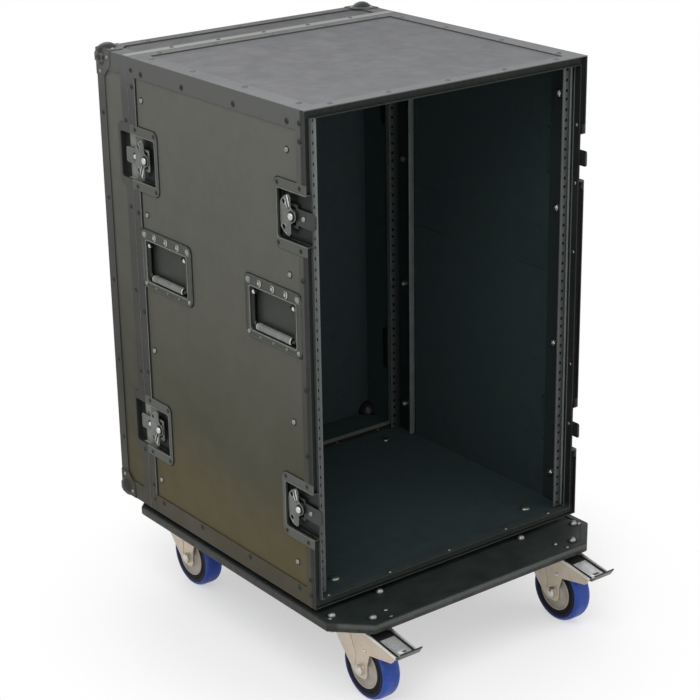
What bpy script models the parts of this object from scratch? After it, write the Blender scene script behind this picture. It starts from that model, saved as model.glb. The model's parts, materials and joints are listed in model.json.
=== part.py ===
"""Amp rack case: a plywood flight case with aluminium edging, four rack rails, recessed
latches and handles, a lift-off rear lid, and a board with four swivel casters under it.

Metres, +Z up, the front opening faces -Y. The origin is at the middle of the object's box,
on the floor. Lengths named here are the real sizes; everything else is worked out from them.
"""

import math

import bmesh
import bpy
from mathutils import Matrix, Vector

for leftover in list(bpy.data.objects):
    bpy.data.objects.remove(leftover, do_unlink=True)

# Clearances
SEAT = 0.0003  # gap between pieces that rest on each other
RUNNING = 0.0005  # gap round a piece that turns inside another

# Rack standard
RACK_UNIT = 0.04445
RACK_UNITS = 16
RAIL_HOLE_SPACING = 0.4651  # across the case, hole to hole
PANEL_EAR = 0.00875  # of the equipment, from a hole's middle to its panel's end
RAIL_HOLE_EDGE = 0.00715  # from a hole's middle to the rail's free edge
UNIT_HOLES = (0.00635, 0.022225, 0.0381)  # up from the lower edge of each unit

# Case body
PANEL_PLAY = 0.0044  # beside the equipment, each side
RAIL_PLAY = 0.0021  # above and below the rails
PLY = 0.0095
SHEET = 0.0015  # aluminium edging
BODY_DEPTH = 0.447
EDGE_LEG = 0.029

# Rim extrusions round the openings
RIM_LEG = 0.020  # outer leg, from the parting plane
RIM_INNER_LEG = 0.013
GROOVE_DEPTH = 0.006
TONGUE_LENGTH = 0.005
TONGUE_THICKNESS = 0.0075

# Rear lid
LID_DEPTH = 0.087
LID_EDGE_LEG = 0.020
BALL_RADIUS = 0.020
BALL_PROUD = 0.008
CORNER_LEG = 0.040
CORNER_CUT = 0.018
CORNER_SHEET = 0.0012

# Rack rails
RAIL_SETBACK = 0.016
RAIL_SHEET = 0.002
RAIL_LEG = 0.044
RAIL_BEND = 0.0028  # outer radius of the fold
RAIL_HOLE = 0.0064

# Latches: s runs from the parting plane into the body, w is height from the latch's middle
UPPER_LATCH_RISE = 0.216  # from the middle of the case's height
LOWER_LATCH_DROP = 0.222
LATCH_HALF_HEIGHT = 0.050
PAN_BORDER = 0.0065  # of the dish's flange round the far end of its pan
DISH_CORNER = 0.010
PAN_DEPTH = 0.0092  # below the plywood's face
PAN_SHEET = 0.0012
PAN_HALF_HEIGHT = 0.036
PAN_CORNER = 0.004
KEEPER_PAN = 0.0295
SPINDLE_SETBACK = 0.036
WING_RADIUS = 0.031
WING_WAIST = 0.027  # from the spindle to the wing's straight edge
WING_EDGE = 0.020  # length of that edge
WING_NECK = 0.012  # from the spindle to the start of a lobe
WING_STEP = 0.003  # the lobes' inner edge, past the spindle
LOBE_ANGLES = (34, 55, 76)  # degrees up from the case's length
BOSS_RADIUS = 0.0088
BOSS_ANGLES = (110, 180, 250)
FINGER_RIM = 0.0018  # outside a finger hole
FINGER_ANGLE = 45  # degrees up from the case's length
WING_SHEET = 0.0020
WING_SINK = 0.0018  # its underside, below the plywood's face
FINGER_HOLE = 0.0072
KNOB_RADIUS = 0.0055
KNOB_PROUD = 0.0045
CAM_RADIUS = 0.008
CAM_THROW = 0.0045  # off the spindle, so the hook travels twice this
CAM_PLAY = 0.0011
HOOK_SHEET = 0.0016
HOOK_SINK = 0.0042  # its outer face when drawn back
HOOK_LIFT = 0.002
HOOK_TIP = 0.011  # past the parting plane when drawn back
HOOK_HALF_WIDTH = 0.012
HOOK_CORNER = 0.003
YOKE_RIM = 0.004
YOKE_CORNER = 0.002
CLAW_DEPTH = 0.0035
GUIDE_WIDTH = 0.002  # ribs in the pan that the hook slides on
GUIDE_LENGTH = 0.012
LIP_SHEET = 0.0015
LIP_HEIGHT = 0.0018
LIP_HALF_WIDTH = 0.015

# Handles
HANDLE_SETBACK = 0.085  # from the parting plane to the handle's middle
HANDLE_RISE = 0.061
HANDLE_LENGTH = 0.138
HANDLE_HEIGHT = 0.094
RECESS_LENGTH = 0.112
RECESS_HEIGHT = 0.066
RECESS_DROP = 0.003
GRIP_WIRE = 0.0033
GRIP_RADIUS = 0.0055
GRIP_PIN = 0.0038
GRIP_LENGTH = 0.080
GRIP_FLARE = 0.002  # along the bar, from the wire to the full grip
GRIP_FOOT = 0.0015  # under the grip, to the recess's lower wall
GRIP_BEND = 0.008
BEAD_LENGTH = 0.009  # pressed beads along the dish's upper flange
BEAD_WIDTH = 0.0065
BEAD_CORNER = 0.0026
BEAD_PROUD = 0.0016
BEAD_PITCH = 0.032

# Caster board
BOARD_LENGTH = 0.602
BOARD_WIDTH = 0.516
BOARD_PLY = 0.012
BOARD_CHAMFER = 0.050
TRIM_SHEET = 0.0015
TRIM_WIDTH = 0.009
CASE_LIFT = 0.009  # from the board's face to the case's edging
SPACER_RADIUS = 0.016
SPACER_SIDE_INSET = 0.067  # from the case's sides
SPACER_END_INSET = 0.045  # from the body's ends

# Casters
CASTER_HEADROOM = 0.023  # from the wheel's top to the board
CASTER_SIDE_INSET = 0.068  # from the board's sides to the swivel
CASTER_INSET = 0.0695  # from the board's ends to the swivel
CASTER_TRAIL = 0.037
TOP_PLATE_LENGTH = 0.105
TOP_PLATE_WIDTH = 0.085
TOP_PLATE = 0.003
PLATE_CORNER = 0.008
RACE_RADIUS = 0.027
RACE_HEIGHT = 0.007
WHEEL_RADIUS = 0.050
WHEEL_WIDTH = 0.032
HUB_WIDTH = 0.0345
HUB_RADIUS = 0.038
HUB_BOSS = 0.0132
HUB_DISH = 0.004  # from the boss's face in to the hub's rim
TYRE_INNER = 0.0405
TYRE_CROWN = 0.006
AXLE_RADIUS = 0.006
AXLE_HEAD = 0.0085
HEAD_HEIGHT = 0.005
FORK_SHEET = 0.0025
FORK_PLAY = 0.0008  # beside the hub
FORK_CURB = 0.001  # of the race in the fork round the board's
RACE_SHEET = 0.004
LEG_REAR = 0.031  # from the swivel to the leg's rear edge, at the top
LEG_SHOULDER = 0.018  # that the edge drops before it slopes
LEG_FRONT = 0.020  # ahead of the axle, at the top
LEG_THROAT = 0.031  # above the axle, where the front edge turns in
LEG_NECK = 0.014
LEG_NECK_RISE = 0.013
LEG_END = 0.014  # round the axle
LEG_CORNER = 0.009
ARM_ROOT = 0.020  # behind an arm's root, to the axle's front
ARM_TIP = 0.013  # from an arm's tip to the pedal's lip
ARM_FALL = 0.0105
ARM_LEAN = 0.009
ARM_WIDTH = 0.011
ARM_DEPTH = 0.0315  # at its root
ARM_CORNER = 0.003
BRIDGE_INSET = 0.0005
BRIDGE_END = 0.013  # of a braked fork's bridge, ahead of the axle
AXLE_STUB = 0.001

# Brake pedals: setbacks and heights are from the swivel, at the fork's top
PEDAL_REACH = 0.130  # to the lip's edge
PEDAL_SHEET = 0.002
PEDAL_WIDTH = 0.034  # between the fork's arms
LIP_WIDTH = 0.041
LIP_START = 0.1195
PEDAL_TOP = ((0.054, -0.0017), (0.1165, -0.0097), (0.123, -0.0087))
LIP_RISE = 0.0013
PEDAL_SLOT = (0.105, 0.112)
PEDAL_SLOT_SHARE = 0.45  # of the pedal's width
PEDAL_PIVOT_SETBACK = 0.062
PEDAL_PIVOT_DROP = 0.0092
PEDAL_TRAVEL = math.radians(12)
PEDAL_BARREL = 0.005
SHOE_ROOT = ((0.086, -0.0067), (0.068, -0.0052))
SHOE_ANGLES = (0.66, 0.80, 0.94)  # round the tyre from its top
SHOE_INSET = 0.004  # from the tyre's sides

# Facets
ROUND = 20  # sides of a wheel
SMALL_ROUND = 8
BEND = 2  # chords of a right-angle bend

# Cutters
CUT = 0.05  # how far a cutter runs on where nothing else stands
THROUGH = 0.0002  # past the plywood, short of what lies on it
BITE = 0.001  # that a joined piece sinks into its carrier

# Worked out
PANEL_WIDTH = RAIL_HOLE_SPACING + 2 * PANEL_EAR
RACK_CLEAR = RAIL_HOLE_SPACING - 2 * RAIL_HOLE_EDGE
PLY_HALF_WIDTH = PANEL_WIDTH / 2 + PANEL_PLAY + PLY
PLY_HALF_HEIGHT = RACK_UNITS * RACK_UNIT / 2 + RAIL_PLAY + PLY
SKIN = SEAT + SHEET
HALF_WIDTH = PLY_HALF_WIDTH + SKIN
HALF_HEIGHT = PLY_HALF_HEIGHT + SKIN
RIM_WEB = GROOVE_DEPTH + SHEET
PAN_END = SPINDLE_SETBACK + WING_RADIUS + RUNNING
LATCH_REACH = PAN_END + PAN_BORDER
KEEPER_REACH = KEEPER_PAN + PAN_BORDER
PAN_FLOOR = PAN_DEPTH - PAN_SHEET
RECESS_FLOOR = PAN_DEPTH - PAN_SHEET
GRIP_DROP = RECESS_HEIGHT - PAN_CORNER - GRIP_PIN - GRIP_FOOT - GRIP_RADIUS  # below the pivot
CASTER_HEIGHT = 2 * WHEEL_RADIUS + CASTER_HEADROOM
CASTER_X = BOARD_WIDTH / 2 - CASTER_SIDE_INSET
BOARD_TOP = CASTER_HEIGHT + BOARD_PLY
CASE_BOTTOM = BOARD_TOP + CASE_LIFT
CASE_MIDDLE = CASE_BOTTOM + HALF_HEIGHT
FORK_TOP = CASTER_HEIGHT - TOP_PLATE - RACE_HEIGHT - SEAT
FORK_GAP = HUB_WIDTH / 2 + FORK_PLAY
PEDAL_PIVOT = (-PEDAL_PIVOT_SETBACK, FORK_TOP - PEDAL_PIVOT_DROP)
FRONT_REACH = BOARD_LENGTH / 2 - CASTER_INSET + PEDAL_REACH
REAR_REACH = BODY_DEPTH / 2 + LID_DEPTH + BALL_PROUD
BODY_Y = (FRONT_REACH - REAR_REACH) / 2
FRONT_Y = BODY_Y - BODY_DEPTH / 2
REAR_Y = BODY_Y + BODY_DEPTH / 2

FINISHES = {  # base colour, roughness, metallic
    "laminate": ((0.075, 0.075, 0.068), 0.55, 0.0),
    "lining": ((0.012, 0.014, 0.015), 0.80, 0.0),
    "edging": ((0.070, 0.073, 0.075), 0.42, 0.7),
    "rail": ((0.030, 0.034, 0.036), 0.45, 0.6),
    "dish": ((0.055, 0.058, 0.057), 0.40, 0.8),
    "latch": ((0.120, 0.125, 0.120), 0.35, 0.9),
    "grip": ((0.120, 0.130, 0.125), 0.45, 0.2),
    "board": ((0.022, 0.024, 0.024), 0.60, 0.0),
    "zinc": ((0.480, 0.440, 0.370), 0.38, 0.9),
    "tyre": ((0.020, 0.075, 0.380), 0.45, 0.0),
    "chrome": ((0.750, 0.760, 0.770), 0.18, 1.0),
}


def finish(name, kind):
    """A Principled material of the object's own."""
    colour, roughness, metallic = FINISHES[kind]
    made = bpy.data.materials.new(name + "_finish")
    made.use_nodes = True
    shader = made.node_tree.nodes["Principled BSDF"]
    shader.inputs["Base Color"].default_value = (*colour, 1.0)
    shader.inputs["Roughness"].default_value = roughness
    shader.inputs["Metallic"].default_value = metallic
    made.diffuse_color = (*colour, 1.0)
    return made


def add(name, mesh, kind, parent=None, location=(0, 0, 0)):
    """One sub-part: an object with its own mesh user and material."""
    piece = bpy.data.objects.new(name, mesh.copy())
    piece.data.materials.clear()
    piece.data.materials.append(finish(name, kind))
    piece.data.set_sharp_from_angle(angle=math.radians(30))
    bpy.context.scene.collection.objects.link(piece)
    piece.parent = parent
    piece.location = location
    return piece


def station(name, location, turn=None, parent=None):
    """An empty that pieces hang from; turn is the axis that it is turned half round."""
    empty = bpy.data.objects.new(name, None)
    empty.location = location
    empty.rotation_euler = [math.pi if axis == turn else 0 for axis in "XYZ"]
    bpy.context.scene.collection.objects.link(empty)
    empty.parent = parent
    return empty


def finished_mesh(bm):
    bmesh.ops.recalc_face_normals(bm, faces=bm.faces)
    mesh = bpy.data.meshes.new("shape")
    bm.to_mesh(mesh)
    bm.free()
    return mesh


def joined(meshes):
    """Several separate shapes in one mesh."""
    bm = bmesh.new()
    for mesh in meshes:
        bm.from_mesh(mesh)
    return finished_mesh(bm)


def moved(mesh, matrix):
    copy = mesh.copy()
    copy.transform(matrix)
    return copy


def shifted(mesh, x=0.0, y=0.0, z=0.0):
    return moved(mesh, Matrix.Translation((x, y, z)))


def combined(base, *steps):
    """The base after each (operation, mesh) step of Boolean modifiers."""
    scene = bpy.context.scene.collection.objects
    body = bpy.data.objects.new("body", base)
    scene.link(body)
    tools = []
    for operation, mesh in steps:
        tool = bpy.data.objects.new("tool", mesh)
        scene.link(tool)
        tools.append(tool)
        step = body.modifiers.new(operation, "BOOLEAN")
        step.operation = operation
        step.object = tool
    view = bpy.context.evaluated_depsgraph_get()
    view.update()
    result = bpy.data.meshes.new_from_object(body.evaluated_get(view))
    for temporary in (body, *tools):
        bpy.data.objects.remove(temporary, do_unlink=True)
    return result


def prism(outline, low, high, axis):
    """An outline in the plane square to the axis, from low to high along it.
    Across X it is (y, z), across Y it is (x, z) and across Z it is (x, y)."""
    place = {
        "X": lambda a, b, h: (h, a, b),
        "Y": lambda a, b, h: (a, h, b),
        "Z": lambda a, b, h: (a, b, h),
    }[axis]
    bm = bmesh.new()
    ends = [[bm.verts.new(place(a, b, h)) for a, b in outline] for h in (low, high)]
    count = len(outline)
    bm.faces.new(ends[0])
    bm.faces.new(ends[1])
    for i in range(count):
        j = (i + 1) % count
        bm.faces.new((ends[0][i], ends[0][j], ends[1][j], ends[1][i]))
    return finished_mesh(bm)


def box(x, y, z):
    """Each argument is (low, high)."""
    return prism([(x[0], y[0]), (x[1], y[0]), (x[1], y[1]), (x[0], y[1])], *z, "Z")


def both(half):
    return (-half, half)


def circle(radius, sides, centre=(0.0, 0.0), start=0.0):
    return [
        (
            centre[0] + radius * math.cos(start + math.tau * i / sides),
            centre[1] + radius * math.sin(start + math.tau * i / sides),
        )
        for i in range(sides)
    ]


def filleted(corners):
    """An outline from (a, b, radius) corners, each rounded by its radius."""
    outline = []
    count = len(corners)
    for i, (a, b, radius) in enumerate(corners):
        here = Vector((a, b))
        if radius <= 0:
            outline.append((a, b))
            continue
        back = (Vector(corners[i - 1][:2]) - here).normalized()
        on = (Vector(corners[(i + 1) % count][:2]) - here).normalized()
        half = back.angle(on) / 2
        centre = here + (back + on).normalized() * radius / math.sin(half)
        first = here + back * radius / math.tan(half) - centre
        swing = first.angle_signed(here + on * radius / math.tan(half) - centre)
        chords = max(1, round(BEND * abs(swing) / (math.pi / 2)))
        for k in range(chords + 1):
            turn = Matrix.Rotation(-swing * k / chords, 2)
            outline.append(tuple(centre + turn @ first))
    return outline


def rectangle(a, b, radius=0.0):
    """A rounded rectangle from a = (low, high) and b = (low, high)."""
    return filleted(
        [(a[0], b[0], radius), (a[1], b[0], radius), (a[1], b[1], radius), (a[0], b[1], radius)]
    )


def turned(profile, sides, bored):
    """A profile of (x, radius) points turned about X. Flats, not corners, face down.
    A bored profile closes on itself; a solid one starts and ends on the axis."""
    bm = bmesh.new()
    rings = []
    for i in range(sides):
        angle = math.tau * (i + 0.5) / sides - math.pi / 2
        rings.append(
            [
                bm.verts.new((x, radius * math.cos(angle), radius * math.sin(angle)))
                for x, radius in profile
            ]
        )
    spans = len(profile) if bored else len(profile) - 1
    for i in range(sides):
        ring, after = rings[i], rings[(i + 1) % sides]
        for k in range(spans):
            m = (k + 1) % len(profile)
            bm.faces.new((ring[k], ring[m], after[m], after[k]))
    bmesh.ops.remove_doubles(bm, verts=bm.verts, dist=1e-6)
    return finished_mesh(bm)


def tube(path, radii, sides):
    """A round bar along a path in the y-z plane, with a radius at each point."""
    bm = bmesh.new()
    rings = []
    for i, (point, radius) in enumerate(zip(path, radii)):
        before = Vector(path[max(i - 1, 0)])
        after = Vector(path[min(i + 1, len(path) - 1)])
        along = (after - before).normalized()
        across = Vector((-along.y, along.x))
        ring = []
        for k in range(sides):
            angle = math.tau * k / sides
            out = across * radius * math.cos(angle)
            ring.append(
                bm.verts.new((radius * math.sin(angle), point[0] + out.x, point[1] + out.y))
            )
        rings.append(ring)
    for ring, after in zip(rings, rings[1:]):
        for k in range(sides):
            m = (k + 1) % sides
            bm.faces.new((ring[k], ring[m], after[m], after[k]))
    bm.faces.new(rings[0])
    bm.faces.new(rings[-1])
    return finished_mesh(bm)


def mitred_frame(profile):
    """A closed (n, s) section swept round the plywood box, with mitred corners.
    n is outward from the plywood's face and s is along Y."""
    bm = bmesh.new()
    rings = []
    for across, up in ((1, 1), (-1, 1), (-1, -1), (1, -1)):
        rings.append(
            [
                bm.verts.new((across * (PLY_HALF_WIDTH + n), s, up * (PLY_HALF_HEIGHT + n)))
                for n, s in profile
            ]
        )
    count = len(profile)
    for i in range(4):
        ring, after = rings[i], rings[(i + 1) % 4]
        for k in range(count):
            m = (k + 1) % count
            bm.faces.new((ring[k], ring[m], after[m], after[k]))
    return finished_mesh(bm)


def at_side_walls(mesh, rises):
    """A shape in a wall's own frame (x inward from the plywood's face, y along Y, z up)
    put on both side walls at each rise, in the frame of the case's middle."""
    left = [shifted(mesh, -PLY_HALF_WIDTH, 0, rise) for rise in rises]
    half_turn = Matrix.Rotation(math.pi, 4, "Y")
    right = [shifted(moved(mesh, half_turn), PLY_HALF_WIDTH, 0, rise) for rise in rises]
    return joined(left + right)


# Side wall cut-outs, shared by the walls, the rims and the dishes

PAN_HALF_OUTER = PAN_HALF_HEIGHT + PAN_SHEET
LATCH_RISES = (UPPER_LATCH_RISE, -LOWER_LATCH_DROP)


def latch_pan_cut(reach):
    """The hole for a latch's pan, open at the parting plane."""
    far = reach + PAN_SHEET + SEAT
    return box((-CUT, PLY + THROUGH), (-CUT, far), both(PAN_HALF_OUTER + SEAT))


def latch_flange_cut():
    return box((-CUT, 0.0), (-CUT, LATCH_REACH + SEAT), both(LATCH_HALF_HEIGHT + SEAT))


def handle_flange_cut():
    """At a wall's front end; the handle's middle is at the rise."""
    half = HANDLE_LENGTH / 2 + SEAT
    return box(
        (-CUT, 0.0),
        (HANDLE_SETBACK - half, HANDLE_SETBACK + half),
        both(HANDLE_HEIGHT / 2 + SEAT),
    )


def recess_outline(grow):
    """The handle's recess, or its pan's outside, about the handle's middle."""
    half_length = RECESS_LENGTH / 2 + grow
    half_height = RECESS_HEIGHT / 2 + grow
    return rectangle(
        both(half_length),
        (-RECESS_DROP - half_height, -RECESS_DROP + half_height),
        PAN_CORNER + grow,
    )


# Walls


def side_panel():
    """The left wall in the frame of the case's middle; the right one is it turned round."""
    ends = BODY_DEPTH / 2 - RIM_WEB - SEAT
    wall = box((0, PLY), both(ends), both(PLY_HALF_HEIGHT))
    pan = latch_pan_cut(PAN_END)
    front = shifted(pan, y=-BODY_DEPTH / 2)
    rear = shifted(moved(pan, Matrix.Rotation(math.pi, 4, "X")), y=BODY_DEPTH / 2)
    latches = joined([shifted(cut, z=rise) for cut in (front, rear) for rise in LATCH_RISES])
    recess = prism(recess_outline(PAN_SHEET + SEAT), -CUT, PLY + CUT, "X")
    reach = BODY_DEPTH / 2 - HANDLE_SETBACK
    handles = joined([shifted(recess, y=y, z=HANDLE_RISE) for y in (-reach, reach)])
    return combined(wall, ("DIFFERENCE", latches), ("DIFFERENCE", handles))


def level_panel():
    """Top or bottom wall, between the side walls."""
    ends = BODY_DEPTH / 2 - RIM_WEB - SEAT
    return box(both(PLY_HALF_WIDTH - PLY - SEAT), both(ends), (-PLY, 0))


def walls(case):
    left = side_panel()
    add("left_side_panel", left, "laminate", case, (-PLY_HALF_WIDTH, 0, 0))
    right = add("right_side_panel", left, "laminate", case, (PLY_HALF_WIDTH, 0, 0))
    right.rotation_euler.z = math.pi
    level = level_panel()
    add("top_panel", level, "laminate", case, (0, 0, PLY_HALF_HEIGHT))
    bottom = add("bottom_panel", level, "laminate", case, (0, 0, -PLY_HALF_HEIGHT))
    bottom.rotation_euler.y = math.pi


# Edging


def body_rim():
    """Grooved rim; y is from the parting plane into the body."""
    inside = -PLY - SEAT
    section = [
        (SKIN, 0), (SKIN, RIM_LEG), (SEAT, RIM_LEG), (SEAT, RIM_WEB),
        (inside, RIM_WEB), (inside, RIM_INNER_LEG), (inside - SHEET, RIM_INNER_LEG),
        (inside - SHEET, 0), (inside, 0), (inside, GROOVE_DEPTH), (SEAT, GROOVE_DEPTH),
        (SEAT, 0),
    ]
    flanges = at_side_walls(latch_flange_cut(), LATCH_RISES)
    pans = at_side_walls(latch_pan_cut(PAN_END), LATCH_RISES)
    handles = at_side_walls(handle_flange_cut(), (HANDLE_RISE,))
    return combined(
        mitred_frame(section),
        ("DIFFERENCE", flanges),
        ("DIFFERENCE", pans),
        ("DIFFERENCE", handles),
    )


def edge_angle():
    """Along Y, with its outer corner at the top left."""
    section = [
        (0, 0), (EDGE_LEG, 0), (EDGE_LEG, -SHEET), (SHEET, -SHEET), (SHEET, -EDGE_LEG),
        (0, -EDGE_LEG),
    ]
    return prism(section, *both(BODY_DEPTH / 2 - RIM_LEG - SEAT), "Y")


def edging(case):
    rim = body_rim()
    add("front_rim", rim, "edging", case, (0, -BODY_DEPTH / 2, 0))
    rear = add("rear_rim", rim, "edging", case, (0, BODY_DEPTH / 2, 0))
    rear.rotation_euler.z = math.pi
    angle = edge_angle()
    corners = (("top_left", -1, 1), ("top_right", 1, 1), ("bottom_right", 1, -1), ("bottom_left", -1, -1))
    for quarter, (name, across, up) in enumerate(corners):
        place = (across * HALF_WIDTH, 0, up * HALF_HEIGHT)
        piece = add(name + "_edge_angle", angle, "edging", case, place)
        piece.rotation_euler.y = quarter * math.pi / 2


# Rack rails


def rack_rail():
    """x inward from the plywood's outer face, y from the parting plane, z from mid height."""
    leg = PLY + SEAT
    tip = PLY_HALF_WIDTH - RACK_CLEAR / 2
    front = RAIL_SETBACK
    section = filleted(
        [
            (leg, front, RAIL_BEND), (tip, front, 0), (tip, front + RAIL_SHEET, 0),
            (leg + RAIL_SHEET, front + RAIL_SHEET, 0), (leg + RAIL_SHEET, front + RAIL_LEG, 0),
            (leg, front + RAIL_LEG, 0),
        ]
    )
    height = RACK_UNITS * RACK_UNIT
    hole_x = PLY_HALF_WIDTH - RAIL_HOLE_SPACING / 2
    holes = []
    for unit in range(RACK_UNITS):
        for rise in UNIT_HOLES:
            z = unit * RACK_UNIT + rise - height / 2
            around = circle(RAIL_HOLE / 2, 4, (hole_x, z), math.pi / 4)
            holes.append(prism(around, front - RAIL_SHEET, front + 2 * RAIL_SHEET, "Y"))
    return combined(prism(section, *both(height / 2), "Z"), ("DIFFERENCE", joined(holes)))


CORNERS = (  # name, across, along, axis that the front left one is turned about
    ("front_left", -1, -1, None),
    ("front_right", 1, -1, "Y"),
    ("rear_left", -1, 1, "X"),
    ("rear_right", 1, 1, "Z"),
)


def wall_station(name, across, along, turn, rise, case):
    """Where a side wall's plywood face meets a parting plane; x is inward, y into the body."""
    place = (across * PLY_HALF_WIDTH, along * BODY_DEPTH / 2, rise)
    return station(name, place, turn, case)


def rails(case):
    rail = rack_rail()
    for name, across, along, turn in CORNERS:
        at = wall_station(name + "_rail_place", across, along, turn, 0, case)
        add(name + "_rack_rail", rail, "rail", at)


# Latches


def flange_outline(reach):
    return filleted(
        [
            (0, -LATCH_HALF_HEIGHT, 0), (reach, -LATCH_HALF_HEIGHT, DISH_CORNER),
            (reach, LATCH_HALF_HEIGHT, DISH_CORNER), (0, LATCH_HALF_HEIGHT, 0),
        ]
    )


def pan_outline(reach, grow, start):
    half = PAN_HALF_HEIGHT + grow
    corner = PAN_CORNER + grow
    return filleted(
        [(start, -half, 0), (reach + grow, -half, corner), (reach + grow, half, corner), (start, half, 0)]
    )


def latch_dish():
    flange = prism(flange_outline(LATCH_REACH), -SKIN, -SEAT, "X")
    pan = prism(pan_outline(PAN_END, PAN_SHEET, 0), -SEAT - SHEET / 2, PAN_DEPTH, "X")
    hollow = prism(pan_outline(PAN_END, 0, -CUT), -CUT, PAN_FLOOR, "X")
    across = HOOK_HALF_WIDTH - 2 * GUIDE_WIDTH
    under_hook = HOOK_SINK + HOOK_SHEET + SEAT
    guides = joined(
        [
            box(
                (under_hook, PAN_FLOOR + PAN_SHEET / 2),
                (2 * SEAT, GUIDE_LENGTH),
                (side * across - GUIDE_WIDTH / 2, side * across + GUIDE_WIDTH / 2),
            )
            for side in (-1, 1)
        ]
    )
    return combined(flange, ("UNION", pan), ("DIFFERENCE", hollow), ("UNION", guides))


def latch_hook():
    """Drawn back; its origin is at the spindle, on the plywood's face."""
    tip = -SPINDLE_SETBACK - HOOK_TIP
    window = CAM_RADIUS + CAM_PLAY
    window_half = CAM_RADIUS + CAM_THROW + RUNNING
    yoke_start = CAM_THROW - window - YOKE_RIM
    yoke_end = CAM_THROW + window + YOKE_RIM
    yoke_half = window_half + YOKE_RIM
    half = HOOK_HALF_WIDTH
    outline = filleted(
        [
            (tip, -half, HOOK_CORNER), (yoke_start, -half, 0),
            (yoke_start, -yoke_half, 0), (yoke_end, -yoke_half, YOKE_CORNER),
            (yoke_end, yoke_half, YOKE_CORNER), (yoke_start, yoke_half, 0),
            (yoke_start, half, 0), (tip, half, HOOK_CORNER),
        ]
    )
    plate = prism(outline, HOOK_SINK, HOOK_SINK + HOOK_SHEET, "X")
    claw = box(
        (HOOK_SINK + HOOK_SHEET / 2, HOOK_SINK + CLAW_DEPTH),
        (tip, tip + HOOK_SHEET),
        both(half - HOOK_CORNER),
    )
    opening = box((0, CUT), (CAM_THROW - window, CAM_THROW + window), both(window_half))
    return combined(plate, ("UNION", claw), ("DIFFERENCE", opening))


def wing_outline():
    """Half a disc with a waist, its middle at the spindle, its lobes toward +y."""

    def arc(radius, angles):
        turns = [math.radians(angle) for angle in angles]
        return [(radius * math.cos(turn), radius * math.sin(turn)) for turn in turns]

    lobe = arc(WING_RADIUS, LOBE_ANGLES)
    boss = arc(BOSS_RADIUS, BOSS_ANGLES)
    shoulder = lobe[-1][1] - (lobe[-1][0] - WING_STEP)
    upper = [*lobe, (WING_STEP, shoulder), (WING_STEP, WING_NECK)]
    lower = [(a, -b) for a, b in reversed(upper)]
    half = WING_EDGE / 2
    return [(WING_WAIST, half), *upper, *boss, *lower, (WING_WAIST, -half)]


def latch_wing():
    """Drawn back; its origin is at the spindle, on the plywood's face."""
    plate = prism(wing_outline(), WING_SINK - WING_SHEET, WING_SINK, "X")
    cam = prism(
        circle(CAM_RADIUS, SMALL_ROUND, (CAM_THROW, 0)),
        WING_SINK - WING_SHEET / 2,
        PAN_FLOOR - SEAT,
        "X",
    )
    knob = turned(
        [
            (WING_SINK - WING_SHEET / 2, 0), (WING_SINK - WING_SHEET / 2, KNOB_RADIUS),
            (-KNOB_PROUD * 2 / 3, KNOB_RADIUS), (-KNOB_PROUD, KNOB_RADIUS * 3 / 5),
            (-KNOB_PROUD, 0),
        ],
        SMALL_ROUND,
        False,
    )
    reach = WING_RADIUS - FINGER_RIM - FINGER_HOLE / 2
    along = reach * math.cos(math.radians(FINGER_ANGLE))
    up = reach * math.sin(math.radians(FINGER_ANGLE))
    holes = joined(
        [
            prism(circle(FINGER_HOLE / 2, 6, (along, side * up)), -CUT, CUT, "X")
            for side in (-1, 1)
        ]
    )
    return combined(plate, ("UNION", cam), ("UNION", knob), ("DIFFERENCE", holes))


def latches(case):
    """Front ones rest drawn back, wing to the rear. Rear ones rest released, wing toward
    the lid, so that the lid is free to come off."""
    dish, hook, wing = latch_dish(), latch_hook(), latch_wing()
    for name, across, along, turn in CORNERS:
        for level, rise in zip(("upper", "lower"), LATCH_RISES):
            latch = f"{name}_{level}_latch"
            at = wall_station(latch + "_place", across, along, turn, rise, case)
            add(latch + "_dish", dish, "dish", at)
            released = along > 0
            spindle = (0, SPINDLE_SETBACK, 0)
            moving = add(latch + "_wing", wing, "latch", at, spindle)
            moving.rotation_euler.x = math.pi if released else 0
            out = Vector((-HOOK_LIFT, -2 * CAM_THROW, 0)) if released else Vector()
            add(latch + "_hook", hook, "latch", at, Vector(spindle) + out)


# Handles


def handle_dish():
    """About the handle's middle: x inward from the plywood's face, y along the case, z up."""
    outline = rectangle(both(HANDLE_LENGTH / 2), both(HANDLE_HEIGHT / 2), DISH_CORNER)
    flange = prism(outline, -SKIN, -SEAT, "X")
    pan = prism(recess_outline(PAN_SHEET), -SEAT - SHEET / 2, PAN_DEPTH, "X")
    hollow = prism(recess_outline(0), -CUT, RECESS_FLOOR, "X")
    bead_z = (HANDLE_HEIGHT / 2 + RECESS_HEIGHT / 2 - RECESS_DROP) / 2
    beads = []
    for i in (-1, 0, 1):
        middle = i * BEAD_PITCH
        around = rectangle(
            (middle - BEAD_WIDTH / 2, middle + BEAD_WIDTH / 2),
            (bead_z - BEAD_LENGTH / 2, bead_z + BEAD_LENGTH / 2),
            BEAD_CORNER,
        )
        beads.append(prism(around, -SKIN - BEAD_PROUD, -SEAT - SHEET / 2, "X"))
    return combined(
        flange, ("UNION", pan), ("DIFFERENCE", hollow), ("UNION", joined(beads))
    )


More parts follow.
